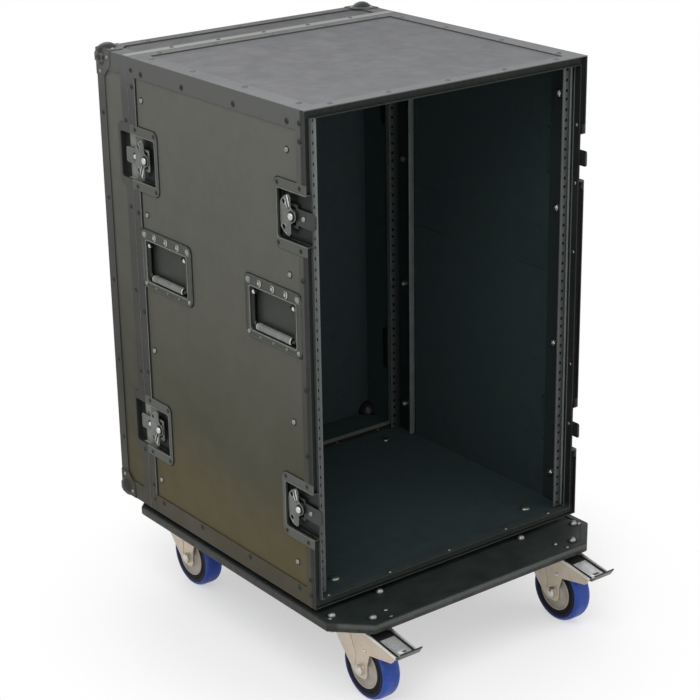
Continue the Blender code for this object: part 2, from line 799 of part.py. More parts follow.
def handle_grip():
    """A bail about its pivot: a pin at each end, arms down and a thick grip."""
    half = RECESS_LENGTH / 2 - SEAT
    arm = half - GRIP_WIRE - RUNNING
    corner = [
        (arm - GRIP_BEND * (1 - math.cos(angle)), -GRIP_DROP + GRIP_BEND * (1 - math.sin(angle)))
        for angle in (math.pi / 2 * k / BEND for k in range(BEND + 1))
    ]
    end = GRIP_LENGTH / 2
    path = [(arm, 0), *corner, (end + GRIP_FLARE, -GRIP_DROP), (end, -GRIP_DROP)]
    radii = [GRIP_WIRE] * (len(path) - 1) + [GRIP_RADIUS]
    path += [(-a, b) for a, b in reversed(path)]
    radii += radii[::-1]
    pin = prism(circle(GRIP_PIN, 8), half - 2 * GRIP_WIRE - RUNNING, half, "X")
    turn = Matrix.Rotation(math.pi / 2, 4, "Z")
    pins = joined([moved(pin, turn), moved(pin, turn.inverted())])
    return combined(tube(path, radii, 8), ("UNION", pins))


def handles(case):
    dish, grip = handle_dish(), handle_grip()
    pivot_z = RECESS_HEIGHT / 2 - RECESS_DROP - PAN_CORNER - GRIP_PIN
    pivot_x = RECESS_FLOOR - SEAT - GRIP_RADIUS
    for name, across, along, _ in CORNERS:
        place = (across * PLY_HALF_WIDTH, along * (BODY_DEPTH / 2 - HANDLE_SETBACK), HANDLE_RISE)
        at = station(name + "_handle_place", place, "Z" if across > 0 else None, case)
        add(name + "_handle_dish", dish, "dish", at)
        add(name + "_handle_grip", grip, "grip", at, (pivot_x, 0, pivot_z))


# Rear lid, in a frame at the rear parting plane with y away from the body


def lid_shell():
    depth = LID_DEPTH - SKIN
    front = SEAT + SHEET + SEAT
    tray = box(both(PLY_HALF_WIDTH), (front, depth), both(PLY_HALF_HEIGHT))
    hollow = box(both(PLY_HALF_WIDTH - PLY), (-CUT, depth - PLY), both(PLY_HALF_HEIGHT - PLY))
    pans = at_side_walls(latch_pan_cut(KEEPER_PAN), LATCH_RISES)
    return combined(tray, ("DIFFERENCE", hollow), ("DIFFERENCE", pans))


def lid_rim():
    """Tongued rim with the four latch keepers in it."""
    inside = -PLY - SEAT
    middle = (SEAT + inside) / 2
    tongue = both(TONGUE_THICKNESS / 2)
    face = SEAT
    back = face + SHEET
    section = [
        (SKIN, face), (middle + tongue[1], face), (middle + tongue[1], -TONGUE_LENGTH),
        (middle + tongue[0], -TONGUE_LENGTH), (middle + tongue[0], face), (inside - SHEET, face),
        (inside - SHEET, RIM_INNER_LEG), (inside, RIM_INNER_LEG), (inside, back), (SEAT, back),
        (SEAT, RIM_LEG), (SKIN, RIM_LEG),
    ]
    gap = box((-CUT, PLY + THROUGH), (-CUT, face + SHEET / 2), both(PAN_HALF_OUTER + SEAT))
    flange = shifted(prism(flange_outline(KEEPER_REACH - face), -SKIN, -SEAT, "X"), y=face)
    pan = prism(pan_outline(KEEPER_PAN, PAN_SHEET, face), -SEAT - SHEET / 2, PAN_DEPTH, "X")
    hollow = prism(pan_outline(KEEPER_PAN, 0, -CUT), -CUT, PAN_FLOOR, "X")
    claw_face = HOOK_TIP - HOOK_SHEET
    lip = box(
        (PAN_FLOOR - LIP_HEIGHT, PAN_FLOOR + PAN_SHEET / 2),
        (claw_face - SEAT - LIP_SHEET, claw_face - SEAT),
        both(LIP_HALF_WIDTH),
    )
    return combined(
        mitred_frame(section),
        ("DIFFERENCE", at_side_walls(gap, LATCH_RISES)),
        ("UNION", at_side_walls(flange, LATCH_RISES)),
        ("UNION", at_side_walls(pan, LATCH_RISES)),
        ("DIFFERENCE", at_side_walls(hollow, LATCH_RISES)),
        ("UNION", at_side_walls(lip, LATCH_RISES)),
    )


def corner_plates(axis):
    """The ball corners' flat legs on the faces square to one axis."""
    proud = CORNER_SHEET
    short = CORNER_LEG - CORNER_CUT
    outline = [
        (0, 0), (CORNER_LEG, 0), (CORNER_LEG, short), (short, CORNER_LEG), (0, CORNER_LEG)
    ]
    plates = []
    for across in (-1, 1):
        for up in (-1, 1):
            corner = (across * HALF_WIDTH, LID_DEPTH, up * HALF_HEIGHT)
            inward = (-across, -1, -up)
            keep = [i for i in range(3) if i != "XYZ".index(axis)]
            flat = [
                (corner[keep[0]] + inward[keep[0]] * a, corner[keep[1]] + inward[keep[1]] * b)
                for a, b in outline
            ]
            k = "XYZ".index(axis)
            ends = sorted((corner[k] - inward[k] * proud, corner[k] + inward[k] * SHEET / 2))
            plates.append(prism(flat, *ends, axis))
    return joined(plates)


def lid_edging():
    """Angles round the rear face and along the four edges, with ball corners."""
    outer = box(both(HALF_WIDTH), (RIM_LEG + SEAT, LID_DEPTH), both(HALF_HEIGHT))
    hollow = box(
        both(PLY_HALF_WIDTH + SEAT), (-CUT, LID_DEPTH - SHEET), both(PLY_HALF_HEIGHT + SEAT)
    )
    behind = (0, LID_DEPTH + CUT)
    rear = box(both(HALF_WIDTH - LID_EDGE_LEG), behind, both(HALF_HEIGHT - LID_EDGE_LEG))
    depth = (-CUT, LID_DEPTH - LID_EDGE_LEG)
    sides = box(both(HALF_WIDTH + CUT), depth, both(HALF_HEIGHT - EDGE_LEG))
    levels = box(both(HALF_WIDTH - EDGE_LEG), depth, both(HALF_HEIGHT + CUT))
    sink = BALL_RADIUS - BALL_PROUD
    balls = []
    for across in (-1, 1):
        for up in (-1, 1):
            bm = bmesh.new()
            bmesh.ops.create_uvsphere(bm, u_segments=10, v_segments=6, radius=BALL_RADIUS)
            centre = (across * (HALF_WIDTH - sink), LID_DEPTH - sink, up * (HALF_HEIGHT - sink))
            bmesh.ops.rotate(bm, verts=bm.verts, matrix=Matrix.Rotation(math.pi / 2, 3, "X"))
            bmesh.ops.translate(bm, verts=bm.verts, vec=centre)
            balls.append(finished_mesh(bm))
    return combined(
        outer,
        ("DIFFERENCE", rear),
        ("DIFFERENCE", sides),
        ("DIFFERENCE", levels),
        ("UNION", corner_plates("X")),
        ("UNION", corner_plates("Y")),
        ("UNION", corner_plates("Z")),
        ("UNION", joined(balls)),
        ("DIFFERENCE", hollow),
    )


def rear_lid(case):
    lid = station("rear_lid", (0, BODY_DEPTH / 2, 0), None, case)
    add("rear_lid_shell", lid_shell(), "laminate", lid)
    add("rear_lid_rim", lid_rim(), "edging", lid)
    add("rear_lid_edging", lid_edging(), "edging", lid)


# Caster board


def board_outline(inset):
    half_width = BOARD_WIDTH / 2 - inset
    half_length = BOARD_LENGTH / 2 - inset
    cut = BOARD_CHAMFER - inset * (2 - math.sqrt(2))
    return [
        (half_width, half_length - cut), (half_width - cut, half_length),
        (-half_width + cut, half_length), (-half_width, half_length - cut),
        (-half_width, -half_length + cut), (-half_width + cut, -half_length),
        (half_width - cut, -half_length), (half_width, -half_length + cut),
    ]


def caster_places():
    """Each swivel, about the board's middle."""
    y = BOARD_LENGTH / 2 - CASTER_INSET
    return [(name, across * CASTER_X, along * y) for name, across, along, _ in CORNERS]


def caster_board():
    """Plywood with an edge trim, spacers under the case and the casters' top plates."""
    low, high = CASTER_HEIGHT, BOARD_TOP
    trim = prism(board_outline(0), low - TRIM_SHEET, high + TRIM_SHEET, "Z")
    window = board_outline(TRIM_WIDTH)
    above = prism(window, high, high + CUT, "Z")
    below = prism(window, low - CUT, low, "Z")
    spacer_x = HALF_WIDTH - SPACER_SIDE_INSET
    spacer_y = BODY_DEPTH / 2 - SPACER_END_INSET
    top = CASE_BOTTOM + SKIN - SEAT
    spacers = [
        prism(circle(SPACER_RADIUS, SMALL_ROUND, (x, y)), high - BITE, top, "Z")
        for x in (-spacer_x, spacer_x)
        for y in (-spacer_y, spacer_y)
    ]
    plate = rectangle(both(TOP_PLATE_LENGTH / 2), both(TOP_PLATE_WIDTH / 2), PLATE_CORNER)
    plates = []
    races = []
    for _, x, y in caster_places():
        lying = prism(plate, low - TOP_PLATE, low + BITE, "Z")
        turn = Matrix.Rotation(math.pi / 4 if x * y > 0 else -math.pi / 4, 4, "Z")
        plates.append(shifted(moved(lying, turn), x, y))
        ring = circle(RACE_RADIUS, SMALL_ROUND, (x, y))
        races.append(prism(ring, low - TOP_PLATE - RACE_HEIGHT, low - TOP_PLATE / 2, "Z"))
    return combined(
        trim,
        ("DIFFERENCE", above),
        ("DIFFERENCE", below),
        ("UNION", joined(spacers)),
        ("UNION", joined(plates)),
        ("UNION", joined(races)),
    )


# Casters, each about its swivel with z from the floor


def fork(braked):
    """Two legs under a bridge, with the axle bolt; a braked one has arms for the pedal."""
    top = FORK_TOP
    under = top - FORK_SHEET / 2
    axle_y, axle_z = -CASTER_TRAIL, WHEEL_RADIUS
    root = axle_y - LEG_FRONT
    front = [(root, under, 0), (root, axle_z + LEG_THROAT, 0)]
    if braked:
        tip = ARM_TIP - PEDAL_REACH
        root = axle_y - ARM_ROOT
        front = [
            (root, under, 0), (tip, top - ARM_FALL, ARM_CORNER),
            (tip + ARM_LEAN, top - ARM_FALL - ARM_WIDTH, ARM_CORNER), (root, top - ARM_DEPTH, 0),
        ]
    leg = filleted(
        [
            (LEG_REAR, under, 0), *front,
            (axle_y - LEG_NECK, axle_z + LEG_NECK_RISE, LEG_CORNER / 2),
            (axle_y - LEG_END, axle_z - LEG_END, LEG_CORNER),
            (axle_y + LEG_END, axle_z - LEG_END, LEG_CORNER), (LEG_REAR, top - LEG_SHOULDER, 0),
        ]
    )
    inner, outer = FORK_GAP, FORK_GAP + FORK_SHEET
    legs = joined([prism(leg, -outer, -inner, "X"), prism(leg, inner, outer, "X")])
    front_end = axle_y - BRIDGE_END if braked else axle_y - LEG_FRONT + BRIDGE_INSET
    bridge = box(
        both(outer - BRIDGE_INSET),
        (front_end, LEG_REAR - BRIDGE_INSET),
        (top - FORK_SHEET, top - BITE),
    )
    race = prism(circle(RACE_RADIUS + FORK_CURB, SMALL_ROUND), top - RACE_SHEET, top, "Z")
    bolt = circle(AXLE_RADIUS, SMALL_ROUND, (axle_y, axle_z))
    axle = prism(bolt, *both(outer + AXLE_STUB), "X")
    head = circle(AXLE_HEAD, 6, (axle_y, axle_z))
    heads = joined(
        [
            prism(head, -outer - HEAD_HEIGHT, -outer + FORK_SHEET / 2, "X"),
            prism(head, outer - FORK_SHEET / 2, outer + HEAD_HEIGHT, "X"),
        ]
    )
    return combined(
        legs, ("UNION", bridge), ("UNION", race), ("UNION", axle), ("UNION", heads)
    )


def wheel():
    """Turned about its axle: hub disc, groove and crowned tyre."""
    hub, tyre = HUB_WIDTH / 2, WHEEL_WIDTH / 2
    grow = 1 / math.cos(math.pi / ROUND)  # flats lie on the true radius
    bore = (AXLE_RADIUS + SEAT) / math.cos(math.pi / ROUND)
    half = [
        (hub, bore), (hub, HUB_BOSS), (hub - HUB_DISH, HUB_RADIUS),
        (tyre, TYRE_INNER), (tyre, WHEEL_RADIUS - TYRE_CROWN), (tyre - TYRE_CROWN, WHEEL_RADIUS),
    ]
    half = [half[0]] + [(x, radius * grow) for x, radius in half[1:]]
    return turned(half + [(-x, radius) for x, radius in reversed(half)], ROUND, True)


def brake_pedal():
    """About its pivot: a sloping plate with a turned-up lip, a barrel and a shoe."""
    pivot = Vector(PEDAL_PIVOT)

    def placed(setback, height):
        return tuple(Vector((-setback, FORK_TOP + height)) - pivot)

    half = PEDAL_WIDTH / 2
    points = [*PEDAL_TOP, (PEDAL_REACH, LIP_RISE)]
    under = [(setback, height - PEDAL_SHEET) for setback, height in reversed(points)]
    plate = prism([placed(*point) for point in points + under], *both(LIP_WIDTH / 2), "X")
    behind = (placed(LIP_START, 0)[0], CUT)
    beside = joined([box((half, CUT), behind, both(CUT)), box((-CUT, -half), behind, both(CUT))])
    near, far = (placed(setback, 0)[0] for setback in PEDAL_SLOT)
    slot = box(both(half * PEDAL_SLOT_SHARE), (far, near), both(CUT))
    barrel = prism(circle(PEDAL_BARREL, SMALL_ROUND), *both(FORK_GAP - SEAT), "X")
    away = WHEEL_RADIUS / math.cos(math.pi / ROUND) + SEAT
    axle = Vector((-CASTER_TRAIL, WHEEL_RADIUS))
    back = Matrix.Rotation(-PEDAL_TRAVEL, 2)
    pad = []
    for angle in SHOE_ANGLES:
        pressed = axle + away * Vector((-math.sin(angle), math.cos(angle)))
        pad.append(tuple(back @ (pressed - pivot)))
    root = [placed(*point) for point in SHOE_ROOT]
    shoe = prism(pad + root, *both(WHEEL_WIDTH / 2 - SHOE_INSET), "X")
    return combined(
        plate,
        ("DIFFERENCE", beside),
        ("DIFFERENCE", slot),
        ("UNION", barrel),
        ("UNION", shoe),
    )


def casters(base):
    rolling, pedal = wheel(), brake_pedal()
    forks = {True: fork(True), False: fork(False)}
    for name, x, y in caster_places():
        braked = name.startswith("front")
        carrier = add(name + "_caster_fork", forks[braked], "zinc", base, (x, y, 0))
        axle = (0, -CASTER_TRAIL, WHEEL_RADIUS)
        add(name + "_caster_wheel", rolling, "tyre", carrier, axle)
        if braked:
            pivot = (0, PEDAL_PIVOT[0], PEDAL_PIVOT[1])
            add(name + "_brake_pedal", pedal, "chrome", carrier, pivot)


def main():
    case = station("case", (0, BODY_Y, CASE_MIDDLE))
    base = station("base", (0, BODY_Y, 0))
    walls(case)
    edging(case)
    rails(case)
    latches(case)
    handles(case)
    rear_lid(case)
    add("caster_board", caster_board(), "board", base)
    casters(base)


main()
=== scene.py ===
"""The looks of the amp rack case: finishes, fasteners, casters, light and camera.

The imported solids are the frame. Metres, +Z up, the open front faces -Y. The body of the case
is symmetric about x = 0, and places start from the frame's own boxes.
"""

import json
from itertools import product
from math import cos, pi, radians, sin, tan, tau

import bmesh
import bpy
from mathutils import Matrix, Vector
from mathutils.geometry import tessellate_polygon


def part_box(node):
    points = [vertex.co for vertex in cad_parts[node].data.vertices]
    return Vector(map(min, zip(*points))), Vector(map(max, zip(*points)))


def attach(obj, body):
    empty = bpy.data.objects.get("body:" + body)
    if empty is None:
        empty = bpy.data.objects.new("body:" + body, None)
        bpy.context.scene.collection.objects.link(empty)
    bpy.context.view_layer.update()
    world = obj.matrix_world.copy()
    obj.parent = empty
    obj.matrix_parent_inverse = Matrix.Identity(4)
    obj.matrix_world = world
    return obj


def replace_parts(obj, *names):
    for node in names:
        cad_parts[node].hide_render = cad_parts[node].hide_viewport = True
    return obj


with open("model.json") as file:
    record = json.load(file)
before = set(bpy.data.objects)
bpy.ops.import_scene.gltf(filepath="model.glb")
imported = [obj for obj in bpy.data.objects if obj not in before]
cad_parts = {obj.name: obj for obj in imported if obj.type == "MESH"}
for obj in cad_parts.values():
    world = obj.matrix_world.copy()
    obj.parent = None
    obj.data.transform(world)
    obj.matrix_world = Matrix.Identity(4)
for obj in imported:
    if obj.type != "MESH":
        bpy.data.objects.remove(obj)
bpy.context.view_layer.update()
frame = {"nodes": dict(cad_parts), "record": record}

# Camera and light
CAMERA_PLACE = (-1.7099, -2.2171, 1.4887)
CAMERA_AZIMUTH = radians(-37.08)
CAMERA_ELEVATION = radians(20.79)
CAMERA_ROLL = radians(-0.96)
CAMERA_LENS = 99.56  # mm, on a 36 mm sensor
WORLD_STRENGTH = 0.75
FLOOR_COLOUR = (0.97, 0.97, 0.97)
SHADOW_REACH = (0.32, 0.58)  # of the floor's own shading, from its middle
SHADOW_LIFT = 0.5  # share of white laid over the shadow

# The case's own sizes, from the frame
BOTH = (-1, 1)
WALL_LOW, WALL_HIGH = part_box("left_side_panel")
PLY_X = -WALL_LOW.x
PLY_BOTTOM, PLY_TOP = WALL_LOW.z, WALL_HIGH.z
PLY = WALL_HIGH.x - WALL_LOW.x
INNER_X = PLY_X - PLY
MIDDLE = (PLY_BOTTOM + PLY_TOP) / 2
RIM_LOW, RIM_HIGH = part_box("front_rim")
CASE_X = RIM_HIGH.x
CASE_BOTTOM, CASE_TOP = RIM_LOW.z, RIM_HIGH.z
FRONT_Y = RIM_LOW.y
RIM_LEG = RIM_HIGH.y - RIM_LOW.y
REAR_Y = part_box("rear_rim")[1].y
LID_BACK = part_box("rear_lid_shell")[1].y
SKIN = CASE_X - PLY_X  # the edging's thickness
BOARD_LOW, BOARD_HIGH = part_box("caster_board")
PLY_FACES = ((PLY_TOP, 1), (PLY_BOTTOM, -1))
CASE_FACES = ((CASE_TOP, 1), (CASE_BOTTOM, -1))
CORNERS = (("front_left", -1, -1), ("front_right", 1, -1), ("rear_left", -1, 1), ("rear_right", 1, 1))

# Places of the parts on it
SEAT = 0.0003  # clearance of a piece that replaces a solid
RIM_RIVET, EDGE_RIVET = 0.0115, 0.021  # from an opening's plane, from a corner
RAIL_RISES = (0.308, 0.131, -0.088, -0.308)
UPPER_RISE, LOWER_RISE = 0.216, -0.222  # the latches, from the case's middle
SPINDLE = 0.036  # from the parting plane
CAM_SHIFT, HOLE_PLACE = 0.0045, 0.0181  # from the spindle
PAN_HALF, PAN_END = 0.036, 0.0675
DISH_REACH, DISH_HALF = 0.074, 0.05
HANDLE_SETBACK, HANDLE_RISE = 0.085, 0.061
HANDLE_LENGTH, HANDLE_HEIGHT = 0.138, 0.094
RECESS_LENGTH, RECESS_HEIGHT, RECESS_DROP = 0.112, 0.066, 0.003
GRIP_PIVOT = RECESS_HEIGHT / 2 - RECESS_DROP - 0.0078  # above the handle's middle
GRIP_DEPTH = 0.0022  # of the pivot, below the plywood's face
GRIP_DROP = 0.0512
GRIP_BEND = 0.009
BOARD_TOP = CASE_BOTTOM - 0.009
FORK_TOP = 0.1127
FORK_HALF = 0.0206
TRAIL = 0.037
QUARTER = Matrix.Rotation(pi / 2, 4, "Y")


# Materials


class Nodes:
    """A node tree, with short calls for what the finishes and the surround share."""

    def __init__(self, owner):
        owner.use_nodes = True
        self.tree = owner.node_tree

    def node(self, kind, inputs=None, **values):
        made = self.tree.nodes.new("ShaderNode" + kind)
        for name, value in values.items():
            setattr(made, name, value)
        for socket, value in (inputs or {}).items():
            self.link(value, made.inputs[socket])
        return made

    def link(self, source, target):
        if hasattr(source, "is_output"):
            self.tree.links.new(source, target)
        else:
            target.default_value = source

    def ramp(self, value, low, high, start=0, end=1):
        """value between low and high, mapped to start and end and held there."""
        limits = {"Value": value, "From Min": low, "From Max": high, "To Min": start, "To Max": end}
        return self.node("MapRange", limits).outputs["Result"]

    def maths(self, operation, a, b=0):
        return self.node("Math", {0: a, 1: b}, operation=operation).outputs[0]

    def seen_directly(self):
        """1 for rays from the camera, a mirror or glass."""
        rays = self.node("LightPath").outputs
        either = self.maths("MAXIMUM", rays["Is Camera Ray"], rays["Is Glossy Ray"])
        return self.maths("MAXIMUM", either, rays["Is Transmission Ray"])


class Shader(Nodes):
    """A material's tree, with what its finish is made of."""

    def __init__(self, name, roughness, metallic=0, specular=0.5):
        self.material = bpy.data.materials.new(name)
        super().__init__(self.material)
        self.shader = self.tree.nodes["Principled BSDF"]
        self.roughness = roughness
        self.set("Roughness", roughness)
        self.set("Metallic", metallic)
        self.set("Specular IOR Level", specular)
        self.place = self.node("TexCoord").outputs["Object"]
        self.x, self.y, self.z = self.node("SeparateXYZ", {"Vector": self.place}).outputs
        self.across = self.maths("ABSOLUTE", self.x)

    def set(self, socket, value):
        self.link(value, self.shader.inputs[socket])

    def stretched(self, scale):
        """The object's coordinates, scaled unevenly."""
        return self.node("Mapping", {"Vector": self.place, "Scale": scale}).outputs["Vector"]

    def noise(self, scale, detail=3, roughness=0.5, vector=None):
        values = {"Vector": vector or self.place, "Scale": scale, "Detail": detail, "Roughness": roughness}
        return self.node("TexNoise", values).outputs["Fac"]

    def noisy(self, grain, low, high, start=0, end=1):
        """A noise of this grain, ramped."""
        return self.ramp(self.noise(*grain), low, high, start, end)

    def cloud(self):
        return self.noisy((22, 6, 0.62), 0.32, 0.7)

    def pebble(self, cells, grain, detail=3):
        cell = self.node("TexVoronoi", {"Vector": self.place, "Scale": cells}).outputs["Distance"]
        return self.maths("ADD", cell, self.noise(grain, detail))

    def step(self, value, at, low, high):
        """0 to 1 between two distances from a place."""
        return self.ramp(value, at + low, at + high)

    def times(self, total, *parts):
        for part in parts:
            total = self.maths("MULTIPLY", total, part)
        return total

    def mix(self, share, first, second):
        """Colours, or sockets that give them."""
        made = self.node("Mix", {"Factor": share}, data_type="RGBA")
        for value, socket in ((first, made.inputs[6]), (second, made.inputs[7])):
            self.link(value if hasattr(value, "is_output") else (*value, 1), socket)
        return made.outputs[2]

    def bands(self, body, value, *steps):
        """A colour that turns to that of each (low, high, colour) step in its turn."""
        for low, high, colour in steps:
            body = self.mix(self.ramp(value, low, high), body, colour)
        return body

    def softened(self, radius):
        """Normals as if the edges had this radius."""
        return self.node("Bevel", {"Radius": radius}, samples=6).outputs["Normal"]

    def edge(self, radius):
        """Near 1 on sharp edges, 0 on flat faces."""
        normals = {0: self.softened(radius), 1: self.node("NewGeometry").outputs["Normal"]}
        facing = self.node("VectorMath", normals, operation="DOT_PRODUCT")
        return self.ramp(facing.outputs["Value"], 0.995, 0.86)

    def worn(self, radius, spread=0.62):
        """Patches of the sharp edges."""
        return self.times(self.edge(radius), self.noisy((90, 5, 0.7), 0.3, spread))

    def done(self, colour, rough, height, strength, distance, soften=0):
        """The material with its colour, roughness and bump, over edges softened by a radius."""
        self.set("Base Color", colour)
        self.set("Roughness", rough)
        bump = {"Strength": strength, "Distance": distance, "Height": height}
        if soften:
            bump["Normal"] = self.softened(soften)
        self.set("Normal", self.node("Bump", bump).outputs["Normal"])
        return self.material

    def metal(self, colour, cloud, lines):
        rough = self.ramp(cloud, 0, 1, self.roughness + 0.08, self.roughness - 0.06)
        return self.done(colour, rough, lines, 0.1, 0.0003, 0.0007)


def scaled(colour, factor):
    return tuple(min(1, part * factor) for part in colour)


def laminate():
    """Grey laminate with a fine pebble, darker and warmer low down as painted shade with a
    painted warm reflection from below; the top is painted lighter as painted light, and
    the lining inside is near black."""
    s = Shader("laminate", 0.58, specular=0.1)
    high, middle, low = (0.102, 0.102, 0.09), (0.082, 0.082, 0.067), (0.055, 0.053, 0.034)
    cloud = s.noisy((4, 3), 0.3, 0.7, -0.05, 0.05)
    height = s.maths("ADD", s.ramp(s.z, PLY_BOTTOM, PLY_TOP), cloud)
    on_lid = s.step(s.y, REAR_Y, 0, 0.0005)
    foot = (0.074, 0.061, 0.026)
    # Painted shade: darker and warmer toward the bottom, by height.
    face = s.bands(foot, height, (0.08, 0.26, low), (0.26, 0.56, middle), (0.56, 0.95, high))
    shade = s.ramp(height, 0.75, 0.35, 0, 0.3)
    face = s.mix(s.times(on_lid, shade), face, scaled(low, 0.5))
    # Painted light: the top face lighter than the sides, lightest at the front and darker on the lid.
    above = s.bands((0.142, 0.144, 0.152), s.y, (FRONT_Y, REAR_Y, (0.106, 0.108, 0.114)))
    above = s.mix(on_lid, above, (0.072, 0.074, 0.078))
    face = s.bands(face, s.z, (PLY_TOP - 0.0006, PLY_TOP - 0.0002, above))
    grime = s.noisy((60, 5, 0.6), 0.35, 0.72, 0, 0.09)
    face = s.mix(grime, face, scaled(middle, 0.72))
    scuff = s.noisy((9, 8, 0.72, s.stretched((1, 1, 5))), 0.7, 0.82, 0, 0.1)
    face = s.mix(scuff, face, scaled(high, 1.4))
    outside = s.step(s.across, PLY_X, -0.0004, -0.0002)
    for value, limit, out in ((s.z, PLY_TOP, 1), (s.z, PLY_BOTTOM, -1), (s.y, LID_BACK, 1)):
        outside = s.maths("MAXIMUM", outside, s.step(value, limit, -out * 0.0004, -out * 0.0002))
    rough = s.noisy((30, 4), 0.3, 0.7, 0.42, 0.56)
    rough = s.maths("ADD", rough, s.ramp(outside, 0, 1, 0.22, 0))
    return s.done(s.mix(outside, lining(s), face), rough, s.pebble(900, 1500, 2), 0.22, 0.0004)


def lining(s):
    """The inside's blue-black, lighter toward the back, with a dusty mottle."""
    tone = s.bands((0.0185, 0.0295, 0.03), s.y, (FRONT_Y, REAR_Y, (0.044, 0.066, 0.068)))
    return s.mix(s.noisy((40, 5, 0.7), 0.4, 0.7, 0, 0.5), tone, (0.033, 0.049, 0.05))


def anodised(name, colour, roughness=0.4, wear=0.5, metallic=0.55):
    """Dark anodised or plated metal with fine lines and brighter worn edges."""
    s = Shader(name, roughness, metallic, 0.35)
    cloud, lines = s.cloud(), s.noise(260, 3, 0.6)
    body = s.mix(cloud, scaled(colour, 0.78), scaled(colour, 1.15))
    body = s.mix(s.ramp(lines, 0.45, 0.75, 0, 0.35), body, scaled(colour, 1.45))
    return s.metal(s.mix(s.times(s.worn(0.0012), wear), body, scaled(colour, 4)), cloud, lines)


def edging():
    """Anodised grey on the outside, as light as the laminate on top and darker down the sides,
    both painted light and shade; painted near-black shade in the grooves, and painted
    highlights where the rims line the openings."""
    s = Shader("edging", 0.46, specular=0.16)
    dark, crest = (0.0165, 0.0195, 0.0175), (0.158, 0.162, 0.166)
    # Painted shade: darker and warmer down the sides toward the bottom.
    body = s.bands(
        (0.044, 0.037, 0.02),
        s.z,
        (CASE_BOTTOM + 0.05, CASE_BOTTOM + 0.2, (0.034, 0.035, 0.028)),
        (MIDDLE - 0.08, MIDDLE + 0.2, (0.07, 0.071, 0.064)),
        (CASE_TOP - 0.08, CASE_TOP - 0.02, (0.086, 0.089, 0.085)),
    )
    rear_leg = s.times(s.step(s.y, REAR_Y, -0.0235, -0.0215), s.step(s.z, CASE_TOP, -0.02, -0.06), 0.3)
    body = s.mix(rear_leg, body, dark)
    shade = s.bands(scaled(dark, 0.95), s.z, (CASE_TOP, MIDDLE, scaled(dark, 0.5)))
    body = s.mix(s.times(s.step(s.y, FRONT_Y, 0.01, 0.0078), 0.92), body, shade)
    # Painted shade on the front faces, with a painted highlight along their top edge.
    front = s.step(s.y, FRONT_Y, 0.0006, 0.0002)
    nose = (CASE_TOP - 0.003, CASE_TOP - 0.0012, (0.095, 0.1, 0.096))
    body = s.mix(front, body, s.bands((0.026, 0.03, 0.027), s.z, nose))
    # Painted light on the top: lightest at the front, lighter on the right, darker toward and on the lid.
    above = s.bands(crest, s.y, (FRONT_Y, REAR_Y - 0.05, (0.098, 0.1, 0.104)))
    above = s.mix(s.ramp(s.x, 0, 0.2, 0, 0.3), above, scaled(crest, 1.1))
    by_rear = (REAR_Y - 0.05, REAR_Y - 0.02, (0.084, 0.086, 0.089))
    above = s.bands(above, s.y, by_rear, (REAR_Y, LID_BACK, (0.052, 0.053, 0.054)))
    body = s.bands(body, s.z, (CASE_TOP - 0.0008, CASE_TOP - 0.0002, above))
    # Painted shade: the grooves near black, darkest on the right and a little lighter low down.
    hollow = s.step(s.across, PLY_X, 0.0002, -0.0002)
    for limit, out in PLY_FACES:
        hollow = s.times(hollow, s.step(s.z, limit, out * 0.0002, -out * 0.0002))
    deep = s.mix(s.ramp(s.x, 0.22, 0.23), dark, scaled(dark, 0.6))
    deep = s.mix(s.step(s.z, PLY_BOTTOM, 0.02, 0.01), deep, (0.03, 0.037, 0.034))
    body = s.mix(hollow, body, deep)
    # Painted light: the lid rim's recesses by the parting plane painted pale where they lie in shade.
    lid_pan_painted_light = s.times(s.step(s.across, PLY_X, -0.0012, -0.002), s.step(s.y, REAR_Y, 0, 0.0005))
    lid_pan_painted_light = s.times(lid_pan_painted_light, s.step(s.y, REAR_Y, 0.0175, 0.0155))
    body = s.mix(lid_pan_painted_light, body, (0.24, 0.245, 0.225))
    # The inner leg: painted light on its land and both sides beside the rails, lighter toward the top.
    leg = s.times(s.step(s.across, INNER_X, 0.0006, 0.0002), s.ramp(s.across, 0.24, 0.241))
    for limit, out in PLY_FACES:
        leg = s.times(leg, s.step(s.z, limit - out * PLY, -out * 0.0006, -out * 0.001))
    near_front = s.ramp(s.y, 0.02, 0)
    inner = s.times(leg, s.step(s.across, INNER_X, -0.001, -0.0014), s.step(s.y, FRONT_Y, 0.011, 0.012))
    outer = s.times(leg, s.step(s.y, FRONT_Y, 0.0058, 0.0054), s.ramp(s.x, 0.02, -0.02))
    land = s.bands((0.085, 0.095, 0.092), s.z, (MIDDLE, CASE_TOP, (0.13, 0.144, 0.14)))
    land = s.mix(front, land, (0.095, 0.104, 0.102))
    body = s.mix(s.times(outer, near_front), body, land)
    body = s.mix(s.times(inner, s.times(near_front, 0.9)), body, (0.165, 0.172, 0.165))
    cloud, lines = s.cloud(), s.noise(260, 3, 0.6, s.stretched((1, 0.03, 0.03)))
    body = s.mix(s.times(cloud, 0.14), body, dark)
    body = s.mix(s.ramp(lines, 0.45, 0.75, 0, 0.08), body, (0.13, 0.132, 0.122))
    edge = s.times(s.worn(0.001), s.ramp(hollow, 0, 1, 0.28, 0.06))
    return s.metal(s.mix(edge, body, (0.19, 0.195, 0.18)), cloud, lines)


